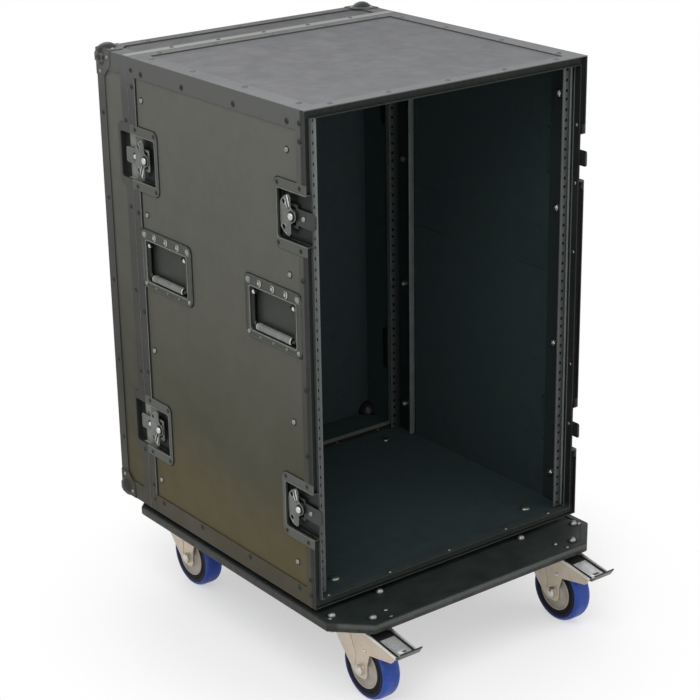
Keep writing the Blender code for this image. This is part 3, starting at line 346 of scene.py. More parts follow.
def dish(name, flange, floor):
    """Plated pressing with worn edges: the floor is painted darker than the flange, as shade in
    the recess. Toward the rear lid a strip of the recesses is painted light."""
    s = Shader(name, 0.4, specular=0.16)
    cloud = s.cloud()
    pressed = s.mix(s.times(cloud, 0.25), flange, scaled(flange, 0.7))
    # Painted shade: the recessed floor darker than the flange.
    body = s.bands(floor, s.across, (PLY_X - 0.003, PLY_X - 0.0004, pressed))
    # Painted light: a pale strip in the recesses near the rear lid.
    hook_strip_painted_light = s.times(s.step(s.across, PLY_X, -0.0004, -0.0012), s.step(s.y, REAR_Y, -0.0215, -0.0195))
    body = s.mix(hook_strip_painted_light, body, (0.135, 0.14, 0.125))
    body = s.mix(s.times(s.worn(0.0012, 0.58), 0.7), body, (0.2, 0.21, 0.195))
    body = s.mix(s.step(s.across, PLY_X, -0.0084, -0.0086), body, lining(s))
    return s.metal(body, cloud, s.noise(260, 3, 0.6))


def rail():
    """Rack rail: brushed, with painted light: bright on the face that takes the equipment and
    lighter toward the top, brightest at its inner edge, and painted black as shade behind."""
    s = Shader("rail", 0.42, 0.2, 0.3)
    dark = (0.02, 0.027, 0.027)
    front, right = s.ramp(s.y, 0.02, -0.02), s.ramp(s.x, -0.02, 0.02)
    # Painted light: the front rails lighter toward the top, the right one shaded darker.
    face = s.bands((0.095, 0.106, 0.102), s.z, (MIDDLE - 0.1, CASE_TOP - 0.05, (0.19, 0.205, 0.198)))
    shaded = s.bands((0.092, 0.1, 0.094), s.z, (MIDDLE, CASE_TOP, (0.125, 0.135, 0.128)))
    tone = s.mix(front, (0.095, 0.112, 0.109), s.mix(right, face, shaded))
    # Painted light: brightest at the inner edge, darker toward the fold.
    tone = s.bands(tone, s.across, (0.2262, 0.2385, (0.03, 0.035, 0.034)))
    # Painted highlight beside the fold of the front right rail.
    edge = s.times(s.ramp(s.across, 0.2386, 0.2392), s.times(right, front))
    tone = s.mix(edge, tone, (0.215, 0.232, 0.222))
    # Painted shade: black behind the face, where the rail lies along the wall.
    body = s.bands(tone, s.across, (INNER_X - 0.0034, INNER_X - 0.0026, dark))
    cloud = s.noisy((30, 6, 0.65), 0.32, 0.7)
    body = s.mix(s.times(cloud, 0.24), body, scaled(dark, 1.6))
    return s.metal(body, cloud, s.noise(240, 3, 0.6, s.stretched((1, 1, 0.05))))


def bumper():
    """The board's edge trim: rounded, painted light on its upper half and painted shade
    below and along its sides.
    """
    s = Shader("board_trim", 0.42, 0.1, 0.25)
    wear = s.noisy((70, 6, 0.7), 0.38, 0.7)
    # Painted light on the upper half, painted shade below it.
    crest = (BOARD_TOP - 0.008, BOARD_TOP - 0.005, (0.062, 0.067, 0.061))
    body = s.bands((0.016, 0.019, 0.017), s.z, crest, (BOARD_TOP - 0.0006, BOARD_TOP, (0.026, 0.03, 0.027)))
    body = s.mix(s.times(wear, 0.35), body, (0.09, 0.096, 0.086))
    # Painted shade on the sides of the board.
    beside = s.times(s.step(s.across, BOARD_HIGH.x, -0.012, -0.008), 0.75)
    return s.metal(s.mix(beside, body, (0.013, 0.014, 0.011)), wear, s.noise(240, 3, 0.6))


def powder_coat(name, colour, roughness):
    """Orange peel over metal."""
    s = Shader(name, roughness, specular=0.35)
    body = s.mix(s.noisy((45, 5, 0.6), 0.35, 0.7), scaled(colour, 0.8), scaled(colour, 1.2))
    edge = s.times(s.edge(0.001), s.noisy((120, 4), 0.38, 0.62), 0.5)
    body = s.mix(edge, body, scaled(colour, 3.5))
    return s.done(body, roughness, s.noise(700, 2), 0.16, 0.0004, 0.0006)


def board_laminate():
    s = Shader("board_laminate", 0.55, specular=0.35)
    colour = (0.009, 0.013, 0.012)
    body = s.mix(s.noisy((14, 6, 0.66), 0.36, 0.7), colour, scaled(colour, 1.7))
    scratch = s.noisy((30, 9, 0.75, s.stretched((1, 6, 1))), 0.68, 0.8, 0, 0.35)
    body = s.mix(scratch, body, scaled(colour, 4.5))
    rough = s.noisy((25, 5), 0.3, 0.7, 0.46, 0.66)
    return s.done(body, rough, s.pebble(700, 1200), 0.22, 0.0004)


def zinc():
    """Plated pressed steel, warm with a faint passivated tint and a painted highlight along
    its sharp edges.
    """
    s = Shader("zinc", 0.42, 0.75)
    body = s.mix(s.noisy((16, 5, 0.6), 0.32, 0.68), (0.5, 0.43, 0.32), (0.58, 0.5, 0.42))
    body = s.mix(s.noisy((210, 5, 0.7), 0.5, 0.75, 0, 0.35), body, (0.3, 0.27, 0.21))
    # Painted highlight along the sharp edges.
    body = s.mix(s.times(s.edge(0.001), 0.5), body, (0.7, 0.67, 0.6))
    rough = s.noisy((50, 4), 0.3, 0.7, 0.34, 0.5)
    return s.done(body, rough, s.noise(320, 4, 0.6), 0.1, 0.0004, 0.0008)


def polished(name, colour, roughness):
    s = Shader(name, roughness, 1)
    smudge = s.noisy((35, 6, 0.65), 0.35, 0.7)
    rough = s.ramp(smudge, 0, 1, roughness, roughness + 0.14)
    body = s.mix(smudge, colour, scaled(colour, 0.82))
    return s.done(body, rough, s.noise(180, 3), 0.05, 0.0003, 0.0006)


def rubber(name, colour, roughness, dusty=0.16, specular=0.35):
    s = Shader(name, roughness, specular=specular)
    body = s.mix(s.noisy((38, 6, 0.65), 0.34, 0.7), scaled(colour, 0.84), scaled(colour, 1.12))
    dust = s.times(s.noisy((85, 6, 0.7), 0.52, 0.74), dusty)
    rough = s.noisy((60, 4), 0.3, 0.7, roughness - 0.07, roughness + 0.1)
    return s.done(s.mix(dust, body, (0.3, 0.29, 0.27)), rough, s.noise(600, 3), 0.14, 0.0003)


FINISH = {
    "laminate": laminate(),
    "edging": edging(),
    "rail": rail(),
    # The handle dish's darker floor is painted shade in the recess.
    "dish": dish("handle_dish", (0.054, 0.059, 0.05), (0.028, 0.033, 0.027)),
    "latch": anodised("latch", (0.115, 0.12, 0.11), 0.36, wear=0.8),
    "grip": powder_coat("grip", (0.155, 0.165, 0.155), 0.42),
    "board": board_laminate(),
    "zinc": zinc(),
    "tyre": rubber("tyre", (0.008, 0.048, 0.29), 0.42),
    "chrome": anodised("chrome", (0.6, 0.61, 0.61), 0.36, wear=0.2, metallic=0.5),
}
# The latch dish's near-black floor is painted shade in the recess.
LATCH_DISH = dish("latch_dish", (0.074, 0.078, 0.069), (0.007, 0.0085, 0.008))
BUMPER = bumper()
# A darker copy of the latch finish for the front hooks: painted shade in their recesses.
HOOK_PAINTED_SHADE = anodised("hook", (0.017, 0.019, 0.018), 0.46, wear=0.8, metallic=0.1)
BLACK_RUBBER = rubber("black_ring", (0.0035, 0.0035, 0.006), 0.6, 0.02, 0.12)
HUB_GREY = rubber("hub_grey", (0.35, 0.315, 0.275), 0.4)
RIVET_DARK = polished("dark_rivet", (0.04, 0.043, 0.039), 0.34)
# A lighter copy of the rivets for the top faces: painted light.
RIVET_PAINTED_LIGHT = polished("top_rivet", (0.165, 0.17, 0.176), 0.5)
RIVET_GREY = polished("grey_rivet", (0.27, 0.285, 0.26), 0.34)
BRIGHT = polished("bright_zinc", (0.6, 0.61, 0.59), 0.26)
# Near black: dark rings and parts, and painted shadows beside the rims, round the dish flanges and round
# the rail screws.
BLACK_AND_SHADOW = powder_coat("seam", (0.0035, 0.004, 0.0038), 0.75)
FAINT = powder_coat("faint_seam", (0.084, 0.086, 0.089), 0.6)
# A dark navy copy of the tyre's blue on its sidewall: painted shade.
SIDEWALL_SHADE = rubber("sidewall", (0.0035, 0.0045, 0.024), 0.5, 0.03, 0.15)
# A brighter copy of the fork's zinc for its arms' folded flanges: painted highlight.
FOLD = anodised("bright_fold", (0.66, 0.66, 0.62), 0.3, wear=0.1, metallic=0.4)
BALL_BLACK = powder_coat("ball", (0.013, 0.014, 0.013), 0.42)
# Lighter than the rail behind it: a painted highlight on the rear rails' folds.
RAIL_FOLD = anodised("rail_fold", (0.15, 0.178, 0.172), 0.42, wear=0.3, metallic=0.1)
BEAD = polished("bead", (0.44, 0.46, 0.42), 0.3)
SHADE = powder_coat("pressed_shade", (0.026, 0.029, 0.025), 0.6)
LIP_GREY = anodised("pressed_lip", (0.125, 0.132, 0.12), 0.34)


def finish_nodes():
    """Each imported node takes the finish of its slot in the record."""
    slots = {part["node"]: part["material_slot"] for part in frame["record"]["subparts"]}
    for name, node in frame["nodes"].items():
        finish = FINISH[slots[name]]
        if name.endswith("_latch_dish"):
            finish = LATCH_DISH
        elif name.endswith("_latch_hook"):
            # The front hooks take the darker copy, painted shade.
            finish = HOOK_PAINTED_SHADE if name.startswith("front") else FINISH["latch"]
        node.data.materials.clear()
        node.data.materials.append(finish)
        node.data.set_sharp_from_angle(angle=radians(32))


# Mesh helpers


def placed(name, data):
    made = bpy.data.objects.new(name, data)
    bpy.context.scene.collection.objects.link(made)
    return made


def new_piece(name, bm, material, body):
    """A finished piece that rides on a body."""
    bmesh.ops.recalc_face_normals(bm, faces=bm.faces)
    mesh = bpy.data.meshes.new(name)
    bm.to_mesh(mesh)
    bm.free()
    mesh.materials.append(material)
    mesh.shade_smooth()
    mesh.set_sharp_from_angle(angle=radians(32))
    piece = placed(name, mesh)
    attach(piece, body)
    return piece


def pieces(slot, *rows, prefix="", body="case"):
    for label, bm, material in rows:
        new_piece(prefix + label, bm, material, body)


def built(name, material, body, slot, *shapes):
    """A piece from shapes, each a maker and what it takes after the mesh."""
    bm = bmesh.new()
    for maker, *values in shapes:
        maker(bm, *values)
    return new_piece(name, bm, material, body)


def meshes(count):
    return [bmesh.new() for _ in range(count)]


def turned(bm, profile, sides, matrix):
    """A profile of (along, radius) points turned about local Z and put in place.
    Points on the axis close it there."""
    turns = [tau * i / sides for i in range(sides)]
    rings = []
    for along, radius in profile:
        ring = [matrix @ Vector((radius * cos(t), radius * sin(t), along)) for t in turns]
        rings.append([bm.verts.new(point) for point in (ring if radius else ring[:1])])
    for ring, after in zip(rings, rings[1:]):
        for i in range(sides):
            j = (i + 1) % sides
            a, b = len(ring), len(after)
            corners = dict.fromkeys((ring[i % a], after[i % b], after[j % b], ring[j % a]))
            if len(corners) > 2:
                bm.faces.new(corners)


def quarter(steps):
    """The angles between the ends of a quarter turn."""
    return [pi / 2 * k / steps for k in range(1, steps)]


def dome(base, height, radius, steps=6):
    """A quarter round's profile between its edge and the axis."""
    return [(base + height * sin(t), radius * cos(t)) for t in quarter(steps)]


def shift(matrix, x, y, z):
    return matrix @ Matrix.Translation((x, y, z))


def mm(*rows):
    """Rows of lengths in millimetres, in metres."""
    return [tuple(length / 1000 for length in row) for row in rows]


def facing(place, direction):
    """A matrix at a place, with local Z along a direction."""
    return Matrix.Translation(place) @ Vector(direction).to_track_quat("Z", "Y").to_matrix().to_4x4()


def points(*places):
    return [Vector(place) for place in places]


def rounded(corners, chords=5):
    """An outline from (a, b, radius) corners, each rounded by its radius."""
    outline = []
    count = len(corners)
    for i, (a, b, radius) in enumerate(corners):
        here = Vector((a, b))
        if radius <= 0:
            outline.append(here)
            continue
        back = (Vector(corners[i - 1][:2]) - here).normalized()
        on = (Vector(corners[(i + 1) % count][:2]) - here).normalized()
        half = back.angle(on) / 2
        centre = here + (back + on).normalized() * radius / sin(half)
        first = here + back * radius / tan(half) - centre
        swing = first.angle_signed(here + on * radius / tan(half) - centre)
        for k in range(chords + 1):
            outline.append(centre + Matrix.Rotation(-swing * k / chords, 2) @ first)
    return outline


def rounded_box(a, b, radius, chords=5):
    """A rounded rectangle from (low, high) pairs."""
    corners = [(a[0], b[0]), (a[1], b[0]), (a[1], b[1]), (a[0], b[1])]
    return rounded([(x, y, radius) for x, y in corners], chords)


def tongue(low, high, half, radius):
    """The same with its near corners sharp."""
    return rounded([(low, -half, 0), (high, -half, radius), (high, half, radius), (low, half, 0)])


def arc(radius, first, last, steps):
    """Points from one angle to another, in degrees."""
    turns = [radians(first + (last - first) * k / steps) for k in range(steps + 1)]
    return [Vector((radius * cos(turn), radius * sin(turn))) for turn in turns]


def circle(radius, sides=24, centre=(0, 0)):
    return [Vector(centre) + point for point in arc(radius, 0, 360, sides)[:-1]]


def band(path, width):
    """A round-ended outline along a path."""
    left, right = [], []
    for i, here in enumerate(path):
        along = (path[min(i + 1, len(path) - 1)] - path[max(i - 1, 0)]).normalized()
        across = Vector((-along.y, along.x)) * width / 2
        left.append(here + across)
        right.append(here - across)
    last = (path[-1] - path[-2]).normalized() * width / 2
    first = (path[0] - path[1]).normalized() * width / 2
    return [*left, path[-1] + last, *reversed(right), path[0] + first]


def inset(outline, distance):
    """The outline moved to its left, vertex by vertex."""
    result = []
    count = len(outline)
    for i, here in enumerate(outline):
        before = (here - outline[i - 1]).normalized()
        after = (outline[(i + 1) % count] - here).normalized()
        left = Vector((-before.y - after.y, before.x + after.x))
        result.append(here + left.normalized() * distance * 2 / max(left.length, 0.6))
    return result


def raised(outline, height):
    """A flat outline as points at a height."""
    return [Vector((p.x, p.y, height)) for p in outline]


def plate(bm, outlines, low, high, matrix, bevel=0.0004):
    """A flat piece from low to high along local Z, its edges rounded. The first outline is
    its edge and the others are holes."""
    round_off = [(1, 0), (0.3, 0.3), (0, 1)]
    heights = [(share, low + bevel * up) for share, up in round_off]
    heights += [(share, high - bevel * up) for share, up in reversed(round_off)]
    ends = ([], [])
    for number, outline in enumerate(outlines):
        loop = points(*outline)
        area = sum(loop[i - 1].cross(loop[i]) for i in range(len(loop)))
        if (area < 0) == (number == 0):
            loop.reverse()
        rings = [
            [bm.verts.new(matrix @ point) for point in raised(inset(loop, bevel * share), height)]
            for share, height in heights
        ]
        for ring, after in zip(rings, rings[1:]):
            for i in range(len(ring)):
                bm.faces.new((ring[i - 1], ring[i], after[i], after[i - 1]))
        for end, ring in zip(ends, (rings[0], rings[-1])):
            end.append((raised(inset(loop, bevel), 0), ring))
    for end in ends:
        verts = [vert for _, ring in end for vert in ring]
        for triangle in tessellate_polygon([loop for loop, _ in end]):
            if len(set(triangle)) == 3:
                bm.faces.new([verts[k] for k in triangle])


def sweep(bm, path, radii, matrix=Matrix(), sides=10, flat=1, closed=False):
    """A bar along a path. Its section is a circle, or an oval flattened along local Z."""
    count = len(path)
    rings = []
    for i, here in enumerate(path):
        before = path[i - 1] if closed or i else here
        after = path[(i + 1) % count] if closed or i < count - 1 else here
        along = (after - before).normalized()
        up = Vector((0, 0, 1)) if abs(along.z) < 0.9 else Vector((1, 0, 0))
        across = along.cross(up).normalized()
        up = across.cross(along)
        radius = radii[i] if isinstance(radii, list) else radii
        turns = [tau * k / sides for k in range(sides)]
        outs = [across * cos(turn) + up * sin(turn) * flat for turn in turns]
        rings.append([bm.verts.new(matrix @ (here + out * radius)) for out in outs])
    for ring, after in zip(rings, rings[1:] + rings[:1] if closed else rings[1:]):
        for k in range(sides):
            bm.faces.new((ring[k - 1], ring[k], after[k], after[k - 1]))
    if not closed:
        bm.faces.new(rings[0])
        bm.faces.new(rings[-1])


def wall(side, along, rise, setback=0):
    """Local X runs from a parting plane into the body, Y up and Z out of a side wall, from
    the plywood's face. The part's two ends and sides mirror each other."""
    y = (FRONT_Y if along < 0 else REAR_Y) - along * setback
    return Matrix(
        ((0, 0, side, side * PLY_X), (-along, 0, 0, y), (0, 1, 0, MIDDLE + rise), (0, 0, 0, 1))
    )


def outward(side, x):
    """Local X runs back, Y up and Z out to a side."""
    return Matrix(((0, 0, side, side * x), (1, 0, 0, 0), (0, 1, 0, 0), (0, 0, 0, 1)))


# Fasteners


def rivet(bm, place, direction, radius=0.0045, height=0.0016):
    """A blind rivet: low dome with the hole of its broken stem."""
    profile = [(-0.0005, radius), (0, radius)]
    profile += [(height * sin(t), radius * (0.3 + 0.7 * cos(t))) for t in quarter(4)]
    profile += [(height, radius * 0.3), (height * 0.45, radius * 0.26), (height * 0.45, 0)]
    turned(bm, profile, 14, facing(place, direction))


def stud(bm, place, direction, radius, height, seat=0.0003, sides=16):
    """A plain domed head."""
    profile = [(-0.0004, radius), (seat, radius), *dome(seat, height, radius), (height + seat, 0)]
    turned(bm, profile, sides, facing(place, direction))


def carriage_bolt(bm, place, direction, radius, height):
    stud(bm, place, direction, radius, height, seat=0.0006, sides=20)


def washer(bm, place, direction, radius, height=0.0005):
    turned(bm, [(-0.0004, radius), (height, radius * 0.94), (height, 0)], 20, facing(place, direction))


def local(maker):
    """The maker for a place in a local frame, facing out of it."""

    def made(bm, matrix, a, b, lift, *sizes):
        maker(bm, matrix @ Vector((a, b, lift)), matrix.to_3x3() @ Vector((0, 0, 1)), *sizes)

    return made


rivet_at, stud_at, washer_at = local(rivet), local(stud), local(washer)


def rail_fixings():
    """The bolts that hold the rails: their sides and frames on the walls."""
    for side, (along, setback), rise in product(BOTH, ((-1, 0.043), (1, 0.035)), RAIL_RISES):
        yield side, wall(side, along, rise, setback)


def fasteners():
    """Rivets of the edging and rims, and the rails' screws."""
    dark, bright, rings, upper = meshes(4)
    for y, side, (z, up) in product((0.039, 0.166, 0.297, 0.408), BOTH, CASE_FACES):
        rivet(dark, (side * CASE_X, FRONT_Y + y, z - up * EDGE_RIVET), (side, 0, 0))
        rivet(upper if up > 0 else dark, (side * (CASE_X - EDGE_RIVET), FRONT_Y + y, z), (0, 0, up))
    rises = (0.35, 0.325, 0.13, -0.03, -0.13, -0.325, -0.35)
    for side, along, rise in product(BOTH, BOTH, rises):
        rivet_at(dark, wall(side, along, rise, RIM_RIVET), 0, 0, SKIN, 0.0038)
    for _, at in rail_fixings():
        # A near-black ring round each screw head: painted shadow.
        washer_at(rings, at, 0, 0, 0, 0.0054)
        stud_at(bright, at, 0, 0, 0.0004, 0.004, 0.002)
    for along, edge in ((-1, FRONT_Y), (1, REAR_Y)):
        for z, side in product((0.779, 0.69, 0.582, 0.4, 0.3), BOTH):
            place = (side * (INNER_X - 0.0018), edge - along * 0.006, z)
            stud(bright, place, (-side, 0, 0), 0.0028, 0.0012)
        for x in (-0.205, -0.105, 0, 0.105, 0.205):
            for (z, up), bm in zip(CASE_FACES, (upper, dark)):
                rivet(bm, (x, edge - along * RIM_RIVET, z), (0, 0, up), 0.0038)
        for x, (z, up) in product((-0.229, -0.115, 0, 0.115, 0.204), PLY_FACES):
            place = (x, edge - along * 0.0065, z - up * (PLY + 0.0018))
            stud(bright, place, (0, 0, -up), 0.0028, 0.0012)
    pieces("edging", ("edging_rivets", dark, RIVET_DARK), ("top_rivets", upper, RIVET_PAINTED_LIGHT))
    pieces("rail", ("rail_screws", bright, RIVET_GREY), ("rail_screw_shadow_rings", rings, BLACK_AND_SHADOW))


def clear_of_latches(reach):
    """The heights from -reach to +reach of the case's middle that no latch dish takes."""
    half = DISH_HALF + 0.001
    marks = [-reach, LOWER_RISE - half, LOWER_RISE + half, UPPER_RISE - half, UPPER_RISE + half, reach]
    return [(MIDDLE + marks[k], MIDDLE + marks[k + 1]) for k in (0, 2, 4)]


def seams():
    """Dark lines: painted shadows down the sides by the rims' edges, and joint lines round
    the parting plane.
    """
    rims, parting, edges = meshes(3)
    reach = MIDDLE - PLY_BOTTOM - 0.029
    after_rim, before_rim = FRONT_Y + RIM_LEG, REAR_Y - RIM_LEG
    strips = ((after_rim, after_rim + 0.001), (before_rim - 0.0028, before_rim))
    for side in BOTH:
        for span in clear_of_latches(reach):
            # Painted shadows on the plywood beside the rims' edges.
            for strip in strips:
                outline = rounded_box(strip, span, 0.0004, 2)
                plate(rims, [outline], -0.0002, 0.0006, outward(side, PLY_X), 0.0002)
            sweep(edges, [Vector((side * CASE_X, before_rim, z)) for z in span], 0.0006, sides=6)
        for span in clear_of_latches(MIDDLE - CASE_BOTTOM):
            outline = rounded_box((REAR_Y - 0.0012, REAR_Y - 0.0002), span, 0.0004, 2)
            plate(parting, [outline], -0.0002, 0.0004, outward(side, CASE_X), 0.0002)
    for z, up in CASE_FACES:
        outline = rounded_box((-CASE_X, CASE_X), (REAR_Y - 0.0024, REAR_Y - 0.0002), 0.0004, 2)
        turn = Matrix(((1, 0, 0, 0), (0, 1, 0, 0), (0, 0, up, z), (0, 0, 0, 1)))
        plate(parting, [outline], -0.0002, 0.0002, turn, 0.0001)
    pieces("edging", ("rim_edge_shadows", rims, BLACK_AND_SHADOW), ("parting_line", parting, FAINT))
    pieces("edging", ("rim_edges", edges, LIP_GREY))


# Latches


def wing_edge():
    """The wing's outline about its spindle, lobes toward +X."""
    lobe = arc(0.031, 34, 76, 6)
    upper = [(p.x, p.y, 0) for p in lobe] + [(0.003, 0.0262, 0.002), (0.003, 0.012, 0.003)]
    boss = [(p.x, p.y, 0) for p in arc(0.0088, 104, 256, 12)]
    lower = [(a, -b, radius) for a, b, radius in reversed(upper)]
    return rounded([(0.027, 0.01, 0.008), *upper, *boss, *lower, (0.027, -0.01, 0.008)], 3)


def latch(name, side, along, rise):
    """Wing, knob and cam in place of the plain ones; rivets and rolled edges on the dish."""
    at = wall(side, along, rise)
    wing_body, hook_body = name + "_latch_wing", name + "_latch_hook"
    rear = along > 0
    spindle = shift(at, SPINDLE, 0, 0)
    if rear:
        spindle = spindle @ Matrix.Rotation(pi, 4, "Z")
    bm = bmesh.new()
    holes = [(HOLE_PLACE, up * HOLE_PLACE) for up in BOTH]
    groove = points(*mm((6.8, 9.5), (8.8, 14.5), (10.4, 19), (11.2, 23.5)))
    cuts = [*(circle(0.0036, 18, hole) for hole in holes), band(groove, 0.0026)]
    plate(bm, [wing_edge(), *cuts], -0.0018, 0.0002, spindle, 0.0006)
    for hole in holes:
        sweep(bm, raised(circle(0.0044, 18, hole), 0.0003), 0.0006, spindle, 6, closed=True)
    sweep(bm, raised(arc(0.0298, -70, -36, 8), 0.0003), 0.0008, spindle, 8)
    cam = mm((-7.7, 0), (-7.7, 7.9), (-1.2, 7.9), (-1.2, 0))
    turned(bm, cam, 28, shift(spindle, CAM_SHIFT, 0, 0))
    wing = new_piece(name + "_latch_wing_plate", bm, FINISH["latch"], wing_body)
    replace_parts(wing, wing_body)
    ridge = points(*mm((4.5, 12.5, 0.6), (4.8, 18, 1.2), (6.6, 24, 1.2), (9.4, 28.2, 0.4)))
    beside = points(*mm((9.6, 10.5, 0.3), (12.2, 16, 0.6), (13.6, 21.5, 0.3)))
    knob = [(0.0002, 0.0052), (0.002, 0.0054), *dome(0.002, 0.0028, 0.0054, 7), (0.0048, 0)]
    built(
        name + "_latch_knob", BRIGHT, wing_body, "latch",
        (sweep, ridge, [0.0008, 0.0013, 0.0013, 0.0007], spindle, 10),
        (sweep, beside, [0.0005, 0.0009, 0.0005], spindle, 8),
        (turned, knob, 24, spindle),
    )
    ring = mm((0, 7.8), (0.8, 7.4), (0.8, 5), (0, 4.8))
    built(name + "_latch_knob_ring", BLACK_AND_SHADOW, wing_body, "latch", (turned, ring, 28, spindle))
    hook = (at, SPINDLE - 0.031, 0, -0.0022) if rear else (at, SPINDLE - 0.022, 0, -0.0042)
    finish = BRIGHT if rear else RIVET_GREY
    built(name + "_hook_rivet", finish, hook_body, "latch", (stud_at, *hook, 0.004, 0.0022))
    if rear:
        ring = (washer_at, *hook, 0.0066, 0.0004)
        built(name + "_hook_rivet_ring", BLACK_AND_SHADOW, hook_body, "latch", ring)
    places = product(BOTH, ((0.066, 0.043), (0.014, 0.044)))
    rivets = [(rivet_at, at, a, up * b, SKIN, 0.0034, 0.0013) for up, (a, b) in places]
    built(name + "_dish_rivets", RIVET_DARK, "case", "dish", *rivets)
    lip = raised(tongue(0.0012, PAN_END, PAN_HALF, 0.004), SKIN)
    built(name + "_dish_lip", LIP_GREY, "case", "dish", (sweep, lip, 0.0008, at, 8))
    # A painted shadow line round the dish's flange.
    seam = raised(tongue(0.0006, DISH_REACH + 0.0003, DISH_HALF + 0.0003, 0.01), 0.0006)
    built(name + "_dish_edge_shadow", BLACK_AND_SHADOW, "case", "dish", (sweep, seam, 0.0009, at, 6))


# Handles


def framed(length, height, margin, radius, drop=0):
    """A rounded box of a length and height, grown by a margin."""
    a, b = length / 2 + margin, height / 2 + margin
    return rounded_box((-a, a), (-drop - b, -drop + b), radius)


def handle(name, side, along):
    """Sleeved grip in place of the plain bar; beads, rivets and a rolled edge on the dish."""
    at = wall(side, along, HANDLE_RISE, HANDLE_SETBACK)
    body = name + "_handle_grip"
    pivot = shift(at, 0, GRIP_PIVOT, -GRIP_DEPTH)
    end = RECESS_LENGTH / 2 - SEAT
    arm = end - 0.0038
    corner = Vector((arm - GRIP_BEND, GRIP_BEND - GRIP_DROP))
    half = points((arm, 0.0036), (arm, 0)) + [corner + p for p in arc(GRIP_BEND, 0, -90, 6)]
    half += points((0.036, -GRIP_DROP))
    bm, bright, eyes = meshes(3)
    sweep(bm, raised(half + [Vector((-p.x, p.y)) for p in reversed(half)], 0), 0.0033, pivot, 14)
    grip = shift(pivot, 0, -GRIP_DROP, 0) @ QUARTER
    for sign in BOTH:
        pin = shift(pivot, sign * (end - 0.0068), 0, 0) @ Matrix.Rotation(sign * pi / 2, 4, "Y")
        turned(bm, mm((0, 0), (0, 3.6), (6.8, 3.6), (6.8, 0)), 18, pin)
        eye = shift(pivot, sign * (end - 0.0074), 0, 0.002)
        turned(bright, mm((-2, 3.6), (0.8, 3.6), (1.9, 2.5), (2.3, 0)), 18, eye)
        ring = raised(circle(0.0046), 0)
        sweep(bright, ring, 0.0011, shift(grip, 0, 0, sign * 0.0402), 8, closed=True)
        lid = [p for p in raised(circle(0.0054, 20), 0) if p.y > -0.001][::-1]
        sweep(eyes, lid, 0.0013, shift(pivot, sign * (end - 0.0074), 0, GRIP_DEPTH + SKIN - 0.0004), 8)
    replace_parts(new_piece(name + "_grip_bail", bm, RIVET_DARK, body), body)
    new_piece(name + "_grip_ends", bright, BRIGHT, body)
    cuff = mm((-40, 3.3), (-40, 5.2), (-39.2, 5.7), (-35.2, 5.7), (-34.6, 5.1))
    sleeve = list(cuff)
    for x in (k * 0.004 for k in range(-8, 9)):
        sleeve += [(x - 0.0013, 0.0054), (x + 0.0013, 0.0054), (x + 0.002, 0.005)]
    sleeve += [(-a, b) for a, b in reversed(cuff)]
    built(name + "_grip_sleeve", FINISH["grip"], body, "grip", (turned, sleeve, 24, grip))
    studs, corners, beads, rings = meshes(4)
    for a in (-0.06, 0.06):
        washer_at(studs, at, a, 0.0385, SKIN, 0.0066)
        stud_at(corners, at, a, 0.0385, SKIN, 0.0046, 0.0018)
        stud_at(corners, at, a, -0.04, SKIN, 0.0036, 0.0016)
    middle = (HANDLE_HEIGHT / 2 + RECESS_HEIGHT / 2 - RECESS_DROP) / 2
    bead = [(-0.15, 1), (0, 1), *dome(0, 1, 1, 7), (1, 0)]
    ring = [(-0.5, 1), (1, 0.94), (1, 0)]
    for a in (-0.032, 0, 0.032):
        stud_at(studs, at, a, -0.042, SKIN, 0.0026, 0.001)
        size = Matrix.Diagonal((0.0048, 0.0062, 0.0018, 1))
        turned(beads, bead, 24, shift(at, a, middle, SKIN) @ size)
        # Painted shadow: a dark ring under each bead, offset down and sideways.
        size = Matrix.Diagonal((0.006, 0.0074, 0.0003, 1))
        turned(rings, ring, 24, shift(at, a - 0.0008, middle - 0.0008, SKIN) @ size)
    rows = (("_corner_studs", corners, RIVET_GREY), ("_dish_rivets", studs, LIP_GREY))
    rows += (("_dish_beads", beads, BEAD), ("_bead_shadows", rings, SHADE), ("_pivot_eyes", eyes, BLACK_AND_SHADOW))
    pieces("dish", *rows, prefix=name)
    rim = raised(framed(HANDLE_LENGTH, HANDLE_HEIGHT, -0.0022, 0.008), SKIN)
    lip = raised(framed(RECESS_LENGTH, RECESS_HEIGHT, 0.0008, 0.004, RECESS_DROP), SKIN)
    # A painted shadow line round the dish's flange.
    seam = raised(framed(HANDLE_LENGTH, HANDLE_HEIGHT, 0.0003, 0.01), 0.0006)
    for label, material, path, radius, sides, flat in (
        ("_dish_rim", FINISH["dish"], rim, 0.0019, 10, 0.7),
        ("_dish_lip", LIP_GREY, lip, 0.0012, 8, 1),
        ("_dish_edge_shadow", BLACK_AND_SHADOW, seam, 0.0009, 6, 1),
    ):
        built(name + label, material, "case", "dish", (sweep, path, radius, at, sides, flat, True))


# Casters


def wheel_middle(name):
    low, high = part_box(name + "_caster_wheel")
    return (low + high) / 2


def mirrored(half):
    """A wheel's profile from one side's."""
    return [(-a, b) for a, b in half] + half[::-1]


